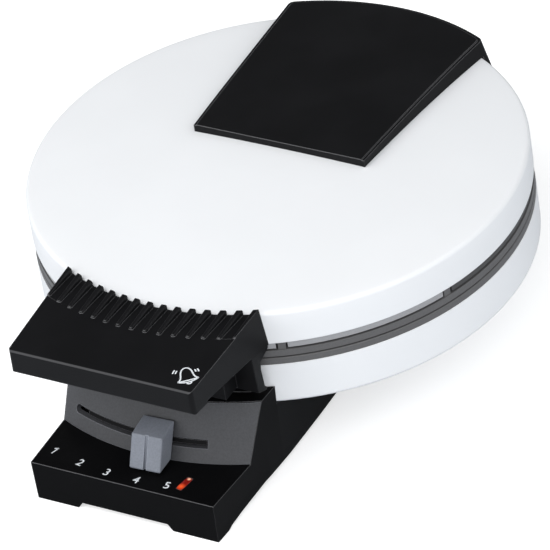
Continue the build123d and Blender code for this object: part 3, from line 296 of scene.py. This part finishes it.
def grained_black(name, tint, grain, edge, gloss=0.12, fillet=None):
    """Spark-eroded black plastic: pebble grain, cloudy sheen and a painted highlight that makes edges a
    little lighter. Where the direction of a fillet is given, the fillet gets the painted highlight too.
    """
    paint = Paint(name, tint, 0.45, IOR=1.46, Specular_IOR_Level=gloss)
    pebble = paint.noise(grain, detail=3.0)
    cloud = paint.noise(spacing=30 * MM, detail=3.0)
    # painted highlight on edges that face up, and on the given fillet
    edge_highlight = paint.edge_mask(edge)
    if fillet:
        edge_highlight = edge_highlight + FILLET_HIGHLIGHT * paint.slope_mask(fillet)
    body = paint.mix(cloud.step(0.3, 0.75), shade(tint, 0.85), shade(tint, 1.15))
    paint.set("Base Color", paint.mix(edge_highlight, body, EDGE_HIGHLIGHT_BLACK))
    paint.set("Roughness", 0.36 + 0.08 * cloud + 0.08 * pebble - 0.10 * edge_highlight)
    paint.bump(pebble, depth=0.025 * MM, normal=paint.round_edges(edge))
    return paint.material


def plain_plastic(name, tint, roughness, grain, edge, gloss=0.5, fleck=0.05, edge_highlight=1.0):
    """Fine matt plastic in any colour. Fleck is how far its colour varies with cloud and grain, and the last
    argument is how many times lighter its edges are painted, as a painted highlight.
    """
    paint = Paint(name, tint, roughness, Specular_IOR_Level=gloss)
    cloud = paint.noise(spacing=20 * MM, detail=3.0)
    coarse = paint.noise(spacing=1.6 * grain, detail=3.0)
    speck = 0.5 * cloud.step(0.3, 0.75) + 0.5 * coarse.step(0.35, 0.65)
    body = paint.mix(speck, shade(tint, 1 - 1.5 * fleck), shade(tint, 1 + 1.5 * fleck))
    # painted highlight: edges that face up are painted lighter
    if edge_highlight > 1.0:
        body = paint.mix(paint.edge_mask(edge), body, shade(tint, edge_highlight))
    paint.set("Base Color", body)
    paint.set("Roughness", roughness - 0.04 + 0.08 * cloud)
    paint.bump(paint.noise(grain, detail=2.0), depth=0.02 * MM, normal=paint.round_edges(edge))
    return paint.material


def banded_ring(name, tint, band_tint, outer_r, shade_from_y):
    """Dark heat-proof ring, light round the front of its outer edge; painted shade behind the given y."""
    paint = Paint(name, tint, 0.45)
    from_axis = paint.distance((0, BODY_Y, 0), scale=(1, 1, 0))
    # painted shade: the light band stops behind the given y, behind the rear tabs
    front = paint.dot(paint.place(), (0, 1, 0)).step(shade_from_y + 0.5 * MM, shade_from_y - 0.5 * MM)
    band = from_axis.step(outer_r - 0.5 * MM, outer_r - 0.2 * MM) * front
    grain = paint.noise(spacing=0.6 * MM, detail=2.0)
    light = paint.mix(grain, shade(band_tint, 0.92), shade(band_tint, 1.08))
    paint.set("Base Color", paint.mix(band, tint, light))
    paint.set("Roughness", 0.42 + 0.06 * grain)
    paint.bump(grain, depth=0.02 * MM, normal=paint.round_edges(0.3 * MM))
    return paint.material


def metal(name, tint, roughness, grain):
    """Bare metal with fine rolling marks."""
    paint = Paint(name, tint, roughness, Metallic=1.0)
    scratch = paint.noise(grain, detail=4.0, vector=paint.place(scale=(1.0, 0.15, 1.0)))
    paint.set("Roughness", roughness - 0.08 + 0.18 * scratch)
    paint.bump(scratch, depth=0.01 * MM, normal=paint.round_edges(0.2 * MM))
    return paint.material


def coated_plate(name, tint):
    """Dark non-stick coating with fine specks over cast aluminium."""
    paint = Paint(name, tint, 0.42, Coat_Weight=0.2, Coat_Roughness=0.3)
    speck = paint.noise(spacing=1.2 * MM, detail=2.0)
    # painted highlight: edges that face up are painted lighter
    edge_highlight = paint.edge_mask(0.4 * MM)
    coating = paint.mix(speck.step(0.55, 0.8), tint, shade(tint, 1.7))
    paint.set("Base Color", paint.mix(0.5 * edge_highlight, coating, shade(tint, 3.0)))
    paint.set("Roughness", 0.36 + 0.14 * speck)
    paint.bump(speck, depth=0.03 * MM, normal=paint.round_edges(0.3 * MM))
    return paint.material


def red_window(name, tint, lamp_at, painted_glint_at):
    """Clear red plastic with a glow from the lamp under its front end and a painted highlight at its rear end."""
    paint = Paint(name, tint, 0.10, IOR=1.5, Coat_Weight=0.5, Coat_Roughness=0.05, Emission_Strength=1.0)
    lit = paint.distance(lamp_at).step(2.6 * MM, 0.0)
    glow = paint.mix(lit, WINDOW_DIM, WINDOW_LIT)
    # painted highlight: a pale glow painted at the rear end as a glint
    painted_glint = paint.distance(painted_glint_at).step(1.2 * MM, 0.0)
    paint.set("Emission Color", paint.mix(painted_glint, glow, WINDOW_PAINTED_GLINT))
    ripple = paint.noise(spacing=1.1 * MM, detail=1.0)
    paint.bump(ripple, depth=0.12 * MM, normal=paint.round_edges(0.2 * MM))
    return paint.material


def printed_white(name, tint):
    """Screen-printed white ink with a slightly broken cover."""
    paint = Paint(name, tint, 0.5)
    cover = paint.noise(spacing=0.4 * MM, detail=3.0)
    paint.set("Base Color", paint.mix(cover.step(0.30, 0.45), shade(tint, 0.75), tint))
    return paint.material


# ---------------------------------------------------------------- surfaces
MERGE_WITHIN = 0.0001 * MM
RAY_FROM_Z = 0.2             # above everything


def add_piece(name, mesh, material, body):
    """Links a finished mesh as one piece that rides on a body."""
    mesh.materials.append(material)
    piece = bpy.data.objects.new(name, mesh)
    bpy.context.scene.collection.objects.link(piece)
    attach(piece, body)
    return piece


def grid_mesh(name, points, smooth_angle):
    """Closed mesh from an array [row, column, xyz]: each point is joined to the next in its row and its
    column, both directions close on themselves, and doubles are merged. Only edges sharper than the angle,
    in degrees, stay sharp.
    """
    rows, columns = points.shape[:2]
    row, column = np.meshgrid(np.arange(rows), np.arange(columns), indexing="ij")
    next_row, next_column = (row + 1) % rows, (column + 1) % columns
    corners = ((row, column), (row, next_column), (next_row, next_column), (next_row, column))
    quads = np.stack([r * columns + c for r, c in corners], axis=-1).reshape(-1, 4)
    mesh = bpy.data.meshes.new(name)
    mesh.from_pydata(points.reshape(-1, 3).tolist(), [], quads.tolist())
    shape = bmesh.new()
    shape.from_mesh(mesh)
    bmesh.ops.remove_doubles(shape, verts=shape.verts, dist=MERGE_WITHIN)
    bmesh.ops.recalc_face_normals(shape, faces=shape.faces)
    shape.to_mesh(mesh)
    shape.free()
    mesh.shade_smooth()
    mesh.set_sharp_from_angle(angle=radians(smooth_angle))
    return mesh


def arc(centre, radius, start, end, count):
    """Points on an arc: centre + radius times (cos, sin) of evenly spaced angles in degrees."""
    angle = np.radians(np.linspace(start, end, count))
    return np.column_stack([centre[0] + radius * np.cos(angle), centre[1] + radius * np.sin(angle)])


def ribbon(path, width, low, high):
    """Flat bar along a plan path: each path point gives four corners, half a width to either side of it,
    at the low and the high level; the first and last corners are drawn together to close the ends.
    Returns an array [point, corner, (u, v, height)].
    """
    along = np.gradient(path, axis=0)
    along /= np.linalg.norm(along, axis=1, keepdims=True)
    sideways = np.column_stack([-along[:, 1], along[:, 0]]) * width / 2
    left, right = path + sideways, path - sideways
    corners = [(left, low), (right, low), (right, high), (left, high)]
    bar = np.stack([np.column_stack([plan, np.full(len(plan), level)]) for plan, level in corners], axis=1)
    ends = bar[[0, -1]].mean(axis=1, keepdims=True).repeat(4, axis=1)
    return np.concatenate([ends[:1], bar, ends[1:]])


def height_on(node, x, y):
    """Height of a node's upper face above a plan point, found by a ray from above."""
    hit, spot, _, _ = frame["nodes"][node].ray_cast(Vector((x, y, RAY_FROM_Z)), Vector((0, 0, -1)))
    if not hit:
        raise RuntimeError(f"no surface of {node} under {x:.4f}, {y:.4f}")
    return spot.z


# ---------------------------------------------------------------- stage
CAMERA_AT = (1.082538, -1.580534, 1.430535)
CAMERA_RIGHT = (0.86832558, 0.47814933, -0.13184806)
CAMERA_UP = (-0.1943941, 0.57263504, 0.79642956)
CAMERA_LENS = 356.1          # in millimetres, as the sensor
CAMERA_SENSOR = 36.0
CAMERA_REACH = 20.0
FLOOR_REACH = 4.0
FLOOR_BOUNCE = (0.55, 0.58, 0.62)            # the floor's colour as it lights the iron
FLOOR_SEEN = (0.8, 0.8, 0.8)                 # and as the camera sees it
FLOOR_GLOW = {"Camera": 0.54, "Glossy": 0.15, "Transmission": 0.15}      # added light, by kind of ray
LAMP_AIM = Vector((0, BODY_Y, 50 * MM))
LAMPS = (                    # name, place, size in metres, watts
    ("key", (-0.68, -0.86, 1.0), 1.5, 13.9),
    ("front_fill", (1.05, -1.15, 1.0), 1.9, 15.2),
    ("side_fill", (1.6, 0.5, 0.75), 1.4, 3.7),
)
SKY = (0.95, 0.975, 1.0)
SKY_STRENGTH = 0.64
DARK_WALL_TOWARDS = (-0.43, 0.62, 0.655)     # unlit part of the studio, behind and left of the iron
DARK_WALL_EDGE = (0.72, 0.94)                # cosine to its middle where it starts, and where it is full
DARK_WALL_SHADE = 0.15


def studio_world():
    """Even pale studio light with one unlit wall."""
    world = bpy.data.worlds.new("studio")
    world.use_nodes = True
    nodes = Nodes(world.node_tree)
    direction = nodes.node("ShaderNodeTexCoord", output="Generated")
    unlit = nodes.dot(direction, DARK_WALL_TOWARDS).step(*DARK_WALL_EDGE)
    background = world.node_tree.nodes["Background"]
    nodes.plug(background.inputs["Color"], nodes.mix(unlit, SKY, shade(SKY, DARK_WALL_SHADE)))
    nodes.plug(background.inputs["Strength"], SKY_STRENGTH)
    return world


def floor_material():
    """Pale floor that reads as white to the camera and in reflections, and keeps the shadow."""
    paint = Paint("floor_white", FLOOR_BOUNCE, 0.9, Specular_IOR_Level=0.0)
    rays = {ray: paint.node("ShaderNodeLightPath", output=f"Is {ray} Ray") for ray in FLOOR_GLOW}
    paint.set("Base Color", paint.mix(rays["Camera"], FLOOR_BOUNCE, FLOOR_SEEN))
    seen = sum(share * rays[ray] for ray, share in FLOOR_GLOW.items())
    glow = paint.node("ShaderNodeEmission", None, {"Color": (1, 1, 1, 1), "Strength": seen})
    lit = Value(paint, paint.shader.outputs["BSDF"])
    both = paint.node("ShaderNodeAddShader", None, {0: lit, 1: glow})
    paint.plug(paint.tree.nodes["Material Output"].inputs["Surface"], both)
    return paint.material


class KRUMKAKE_OT_stage(bpy.types.Operator):
    """Floor, world, lamps and camera"""

    bl_idname = "krumkake.stage"
    bl_label = "Stage"

    def execute(self, context):
        scene = context.scene
        camera = bpy.data.objects.new("camera", bpy.data.cameras.new("camera"))
        scene.collection.objects.link(camera)
        right, up = Vector(CAMERA_RIGHT), Vector(CAMERA_UP)
        facing = Matrix((right, up, right.cross(up))).transposed()
        camera.matrix_world = Matrix.Translation(CAMERA_AT) @ facing.to_4x4()
        camera.data.sensor_width = CAMERA_SENSOR
        camera.data.lens = CAMERA_LENS
        camera.data.clip_end = CAMERA_REACH
        scene.camera = camera

        mesh = bpy.data.meshes.new("floor")
        corners = [(x * FLOOR_REACH, y * FLOOR_REACH, 0) for x, y in ((-1, -1), (1, -1), (1, 1), (-1, 1))]
        mesh.from_pydata(corners, [], [(0, 1, 2, 3)])
        mesh.materials.append(floor_material())
        floor = bpy.data.objects.new("floor", mesh)
        scene.collection.objects.link(floor)

        scene.world = studio_world()
        for name, spot, size, watts in LAMPS:
            lamp = bpy.data.lights.new(name, "AREA")
            lamp.size = size
            lamp.energy = watts
            item = bpy.data.objects.new(name, lamp)
            scene.collection.objects.link(item)
            item.location = spot
            item.rotation_euler = (LAMP_AIM - Vector(spot)).to_track_quat("-Z", "Y").to_euler()
        scene.view_settings.view_transform = "Standard"
        return {"FINISHED"}


# ---------------------------------------------------------------- pieces
class KRUMKAKE_OT_finish_nodes(bpy.types.Operator):
    """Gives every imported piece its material"""

    bl_idname = "krumkake.finish_nodes"
    bl_label = "Materials"

    LAMP_OFFSET = (-0.4 * MM, -2.3 * MM)     # from the middle of the red window
    GLINT_OFFSET = (0.5 * MM, -1.0 * MM)     # painted highlight, from the middle of the red window's rear end

    def execute(self, context):
        tints = context.scene.krumkake_colours
        sizes = context.scene.krumkake_sizes
        grain, edge = sizes.grain, sizes.edge
        low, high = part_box("indicator_lens")
        middle = (low + high) / 2
        lamp_at = (middle.x + self.LAMP_OFFSET[0], middle.y + self.LAMP_OFFSET[1], high.z)
        painted_glint_at = (middle.x + self.GLINT_OFFSET[0], high.y + self.GLINT_OFFSET[1], high.z)
        tab_y = BODY_Y + BODY_R * sin(radians(REAR_TAB_DEG))
        ring_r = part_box("upper_ring")[1].x
        # darker copy of the rings' grey for the upper ring outside its band: painted shade behind the rear tabs
        ring_in_shade = shade(tints.ring, 0.45)
        # the base's black is the case black darkened and less glossy: painted shade for the base low by the floor
        base_black_shaded = shade(tints.black, 0.45)
        guide_black = shade(tints.black, 0.8)
        # the panel's and the knob's edges get a painted highlight
        panel_look = {"roughness": 0.5, "grain": 0.5 * MM, "edge": 0.4 * MM, "fleck": 0.14, "edge_highlight": 4.0}
        knob_look = {"roughness": 0.42, "grain": 0.5 * MM, "edge": 0.5 * MM, "fleck": 0.08, "edge_highlight": 1.9}
        ring_look = {"roughness": 0.5, "grain": 0.6 * MM, "edge": 0.3 * MM}
        # by material slot, and by node for a piece that differs from the others of its slot
        finishes = {
            "white_shell": gloss_white("shell_white", tints.shell),
            "black_plastic": grained_black("case_black", tints.black, grain, edge),
            "handle": grained_black("handle_black", tints.black, grain, edge, fillet=HANDLE_FILLET),
            "base_housing": grained_black("base_black_shaded", base_black_shaded, grain, edge, gloss=0.05),
            "slot_guide": grained_black("guide_black", guide_black, grain, 0.3 * MM, gloss=0.08),
            "panel_grey": plain_plastic("panel_grey", tints.panel, **panel_look),
            "knob_grey": plain_plastic("knob_grey", tints.knob, **knob_look),
            "ring_grey": plain_plastic("ring_grey", tints.ring, **ring_look),
            "ring_light": banded_ring("ring_light", ring_in_shade, tints.upper_ring, ring_r, tab_y),
            "red_lens": red_window("window_red", tints.window, lamp_at, painted_glint_at),
            "cast_plate": coated_plate("plate_coating", PLATE_COATING),
        }
        for slot, look in PLAIN_FINISHES.items():
            finishes[slot] = plain_plastic(*look)
        for slot, look in METAL_FINISHES.items():
            finishes[slot] = metal(*look)
        for name, node in frame["nodes"].items():
            if not node.material_slots:
                node.data.materials.append(None)
            for holder in node.material_slots:
                holder.material = finishes.get(name, finishes[SLOT_OF[name]])
        return {"FINISHED"}


class KRUMKAKE_OT_lid_skin(bpy.types.Operator):
    """Smooth lid: wall, rounded rim and dome, with the notch for the hinge arm"""

    bl_idname = "krumkake.lid_skin"
    bl_label = "Lid skin"

    INNER_RIM = 0.3 * MM         # rounding of the rim on the inside
    RIM_LIFT = 0.02 * MM         # brings the rim's arc closer to the dome
    ARC_POINTS, DOME_POINTS = 9, 40                      # points along the rim's arc and across the dome
    OPEN_POINTS, NOTCH_POINTS = 300, 30                  # steps round the lid outside and inside the notch

    def execute(self, context):
        """A closed profile of radius and height is turned about the body's axis. The outside goes up the
        wall, round the rim on an arc and over the dome, whose height falls from its middle with the square
        of the radius. The inside comes back one wall lower. Between the notch's two angles, all that lies
        below the notch's top is lifted to it.
        """
        sizes = context.scene.krumkake_sizes
        low, top = LID_LOW.z, LID_HIGH.z
        notch_z = low + sizes.notch_top
        rim_z = top - sizes.crown

        def dome(radius, drop):
            return np.column_stack([radius, top - drop - sizes.crown * (radius / BODY_R) ** 2])

        def half_profile(edge_r, rim, drop):
            slope = np.degrees(np.arctan(2 * sizes.crown / BODY_R))
            centre = (edge_r - rim, rim_z - drop + self.RIM_LIFT - rim)
            wall = [(edge_r, low), (edge_r, notch_z)]
            bend = arc(centre, rim, 0, 90 - slope, self.ARC_POINTS)
            crown = dome(np.linspace(bend[-1, 0], 0, self.DOME_POINTS)[1:], drop)
            return np.concatenate([wall, bend, crown])

        outside = half_profile(BODY_R, sizes.rim, 0.0)
        inside = half_profile(BODY_R - sizes.wall, self.INNER_RIM, sizes.wall)[::-1]
        profile = np.concatenate([outside, inside])

        step = np.arcsin(sizes.notch_half / BODY_R)
        open_side = np.linspace(pi / 2 + step, 5 * pi / 2 - step, self.OPEN_POINTS)
        notch_side = np.linspace(pi / 2 - step, pi / 2 + step, self.NOTCH_POINTS)
        angle = np.concatenate([open_side, notch_side])
        in_notch = np.repeat([False, True], [self.OPEN_POINTS, self.NOTCH_POINTS])
        floor_z = np.where(in_notch, notch_z, low)[:, None]
        radius = np.broadcast_to(profile[:, 0], (len(angle), len(profile)))
        height = np.maximum(profile[:, 1], floor_z)
        x = radius * np.cos(angle)[:, None]
        y = BODY_Y + radius * np.sin(angle)[:, None]
        mesh = grid_mesh("lid_skin", np.stack([x, y, height], axis=-1), smooth_angle=50.0)
        skin = add_piece("lid_skin", mesh, bpy.data.materials["shell_white"], "lid")
        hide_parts("lid_shell")
        return {"FINISHED"}


class KRUMKAKE_OT_window(bpy.types.Operator):
    """Clear red window of the ready light"""

    bl_idname = "krumkake.window"
    bl_label = "Ready-light window"

    TURN = radians(-8.5)
    SIZE = (3.1 * MM, 8.4 * MM)
    SQUARENESS = 0.45            # power of the plan ring: 1 gives an ellipse, 0 a rectangle
    AROUND_POINTS = 48
    # Rings from the flat underside through the shaft and the brim to the top of the dome: how wide each is,
    # as a share of the size, and how high it lies, as a share of the height.
    WIDTHS = np.array([0, 0.6, 0.75, 0.75, 1, 1, 0.95, 0.8, 0.45, 0])
    LEVELS = np.array([0, 0, 0.02, 0.951, 0.951, 0.962, 0.975, 0.987, 0.997, 1.0])

    def rounded(self, wave):
        """A sine or cosine raised to the power of squareness, with its sign kept."""
        return np.sign(wave) * np.abs(wave) ** self.SQUARENESS

    def execute(self, context):
        """Each plan ring is a rounded rectangle: x and y of a circle raised to a small power. The rings are
        narrow in the base's hole, wide in the brim on the ledge, and shrink over the dome as they rise.
        """
        low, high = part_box("indicator_lens")
        centre = (low + high) / 2
        around = np.linspace(0, 2 * pi, self.AROUND_POINTS, endpoint=False)
        u = self.WIDTHS[:, None] * self.rounded(np.cos(around)) * self.SIZE[0] / 2
        v = self.WIDTHS[:, None] * self.rounded(np.sin(around)) * self.SIZE[1] / 2
        x = centre.x + u * cos(self.TURN) - v * sin(self.TURN)
        y = centre.y + u * sin(self.TURN) + v * cos(self.TURN)
        z = np.broadcast_to((low.z + (high.z - low.z) * self.LEVELS)[:, None], x.shape)
        mesh = grid_mesh("ready_window", np.stack([x, y, z], axis=-1), smooth_angle=60.0)
        window = add_piece("ready_window", mesh, bpy.data.materials["window_red"], "base")
        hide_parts("indicator_lens")
        return {"FINISHED"}


class KRUMKAKE_OT_scale_digits(bpy.types.Operator):
    """Printed digits 1 to 5 on the ledge, turned towards the slider's axis"""

    bl_idname = "krumkake.scale_digits"
    bl_label = "Scale digits"

    ANGLES = (-17.0, -10.5, -4.3, 2.0, 8.2)              # degrees from -Y, for the digits 1 to 5
    CAP_HEIGHT = 0.73            # height of a digit in a font of size 1
    SLANT = 0.02
    BOLD = 0.04 * MM             # how far the digits' outlines are moved outwards
    # the digit 1, as shares of its height: upright bar, flag from its head down to the left, width of both
    STEM = np.array([(0.06, 0.5), (0.06, -0.5)])
    FLAG = np.array([(0.08, 0.44), (-0.25, 0.20)])
    STROKE = 0.13

    def flagged_one(self, sizes):
        """The digit 1, centred on its origin: two ribbons, each along a straight path."""
        height, proud = sizes.digit, sizes.ink_proud / 2
        lines = (self.STEM * height, self.FLAG * height)
        bars = [ribbon(line, self.STROKE * height, -proud, proud) for line in lines]
        return grid_mesh("digit_1", np.concatenate(bars), smooth_angle=30.0)

    def printed_digit(self, context, number):
        """Mesh of a text object with one digit, centred on its origin."""
        sizes = context.scene.krumkake_sizes
        text = bpy.data.curves.new(f"digit_{number}", "FONT")
        text.body = str(number)
        text.size = sizes.digit / self.CAP_HEIGHT
        text.shear = self.SLANT
        text.offset = self.BOLD
        text.extrude = sizes.ink_proud / 2
        text.align_x = "CENTER"
        text.align_y = "CENTER"
        holder = bpy.data.objects.new("holder", text)
        context.scene.collection.objects.link(holder)
        context.view_layer.update()
        mesh = bpy.data.meshes.new_from_object(holder.evaluated_get(context.evaluated_depsgraph_get()))
        bpy.data.objects.remove(holder)
        return mesh

    def execute(self, context):
        sizes = context.scene.krumkake_sizes
        ink = printed_white("print_white", context.scene.krumkake_colours.ink)
        for number, degrees in enumerate(self.ANGLES, start=1):
            mesh = self.flagged_one(sizes) if number == 1 else self.printed_digit(context, number)
            angle = radians(degrees)
            x = sizes.scale_reach * sin(angle)
            y = SLIDER_Y - sizes.scale_reach * cos(angle)
            spot = Vector((x, y, height_on("base_housing", x, y) + sizes.ink_proud / 2))
            mesh.transform(Matrix.Translation(spot) @ Matrix.Rotation(angle, 4, "Z"))
            add_piece(f"scale_digit_{number}", mesh, ink, "base")
        return {"FINISHED"}


class KRUMKAKE_OT_bell(bpy.types.Operator):
    """Printed bell on the handle, the sign for the ready signal"""

    bl_idname = "krumkake.bell"
    bl_label = "Bell sign"

    PLACE = (39.3 * MM, BODY_Y - 147.8 * MM)
    SLOPE_RUN = 8 * MM           # the handle's slope is measured over this length
    # all that follows is in shares of the bell's width at its lip
    STROKE = 0.07                # width of the lines
    HEIGHT, ARCH = 0.88, 0.29    # height of the wall and half its width without the lip
    LIP, LIP_RISE = 0.21, 0.13   # how far the lip stands out, and the height in which it dies away
    LIP_DROPS = (0.02, 0.15)     # sag of the mouth's rear and front half
    CLAPPER, CLAPPER_R = (0.02, -0.17), 0.11
    WAVES_FROM, WAVE_HALF = (0, 0.45), 11                        # middle of the waves; half a wave's angle
    WAVES = ((0.54, 148), (0.67, 148), (0.45, 12), (0.58, 8))    # radius and angle of each wave

    def strokes(self):
        """Lines of the bell in a unit frame, one wide at the lip. Half the width at height v is a flattened
        arch plus a lip that dies away upwards: ARCH sqrt(1 - (v / HEIGHT)^4) + LIP exp(-v / LIP_RISE). The
        mouth is two parabolas, and the clapper and the waves are arcs.
        """
        v = self.HEIGHT * np.sin(np.linspace(0, pi / 2, 40))
        arch = self.ARCH * np.sqrt(np.maximum(1 - (v / self.HEIGHT) ** 4, 0))
        half = arch + self.LIP * np.exp(-v / self.LIP_RISE)
        wall = np.concatenate([np.column_stack([-half, v]), np.column_stack([half, v])[-2::-1]])
        u = np.linspace(-0.5, 0.5, 20)
        lips = [np.column_stack([u, -drop * (1 - (2 * u) ** 2)]) for drop in self.LIP_DROPS]
        clapper = arc(self.CLAPPER, self.CLAPPER_R, 175, 365, 16)
        waves = [arc(self.WAVES_FROM, reach, middle - self.WAVE_HALF, middle + self.WAVE_HALF, 12)
                 for reach, middle in self.WAVES]
        return [wall, *lips, clapper, *waves]

    def execute(self, context):
        """Each line is a ribbon, turned in plan and laid on the handle's sloping top."""
        sizes = context.scene.krumkake_sizes
        ink = bpy.data.materials["print_white"]
        x0, y0 = self.PLACE
        z0 = height_on("handle", x0, y0)
        slope = (height_on("handle", x0, y0 + self.SLOPE_RUN) - z0) / self.SLOPE_RUN
        width = sizes.bell * self.STROKE
        turn_cos, turn_sin = cos(sizes.bell_turn), sin(sizes.bell_turn)
        for number, line in enumerate(self.strokes(), start=1):
            bar = ribbon(line * sizes.bell, width, 0.0, sizes.ink_proud)
            u, v, rise = bar[..., 0], bar[..., 1], bar[..., 2]
            x = x0 + u * turn_cos - v * turn_sin
            y = y0 + u * turn_sin + v * turn_cos
            points = np.stack([x, y, z0 + slope * (y - y0) + rise], axis=-1)
            mesh = grid_mesh(f"bell_line_{number}", points, smooth_angle=30.0)
            add_piece(f"bell_line_{number}", mesh, ink, "lid")
        return {"FINISHED"}


class KRUMKAKE_PT_panel(bpy.types.Panel):
    """Lists the iron's operators and settings"""

    bl_idname = "KRUMKAKE_PT_panel"
    bl_label = "Krumkake iron"
    bl_space_type = "VIEW_3D"
    bl_region_type = "UI"
    bl_category = "Krumkake iron"

    def draw(self, context):
        for operator in OPERATORS:
            self.layout.operator(operator.bl_idname)
        for group in (context.scene.krumkake_colours, context.scene.krumkake_sizes):
            for name in group.__annotations__:
                self.layout.prop(group, name)


OPERATORS = (
    KRUMKAKE_OT_stage, KRUMKAKE_OT_finish_nodes, KRUMKAKE_OT_lid_skin, KRUMKAKE_OT_window,
    KRUMKAKE_OT_scale_digits, KRUMKAKE_OT_bell,
)
CLASSES = (KrumkakeColours, KrumkakeSizes, *OPERATORS, KRUMKAKE_PT_panel)


def register():
    for made in CLASSES:
        bpy.utils.register_class(made)
    bpy.types.Scene.krumkake_colours = PointerProperty(type=KrumkakeColours)
    bpy.types.Scene.krumkake_sizes = PointerProperty(type=KrumkakeSizes)


def unregister():
    del bpy.types.Scene.krumkake_sizes
    del bpy.types.Scene.krumkake_colours
    for made in reversed(CLASSES):
        bpy.utils.unregister_class(made)


def main():
    register()
    bpy.ops.krumkake.stage()
    bpy.ops.krumkake.finish_nodes()
    bpy.ops.krumkake.lid_skin()
    bpy.ops.krumkake.window()
    bpy.ops.krumkake.scale_digits()
    bpy.ops.krumkake.bell()


if __name__ == "__main__":
    main()
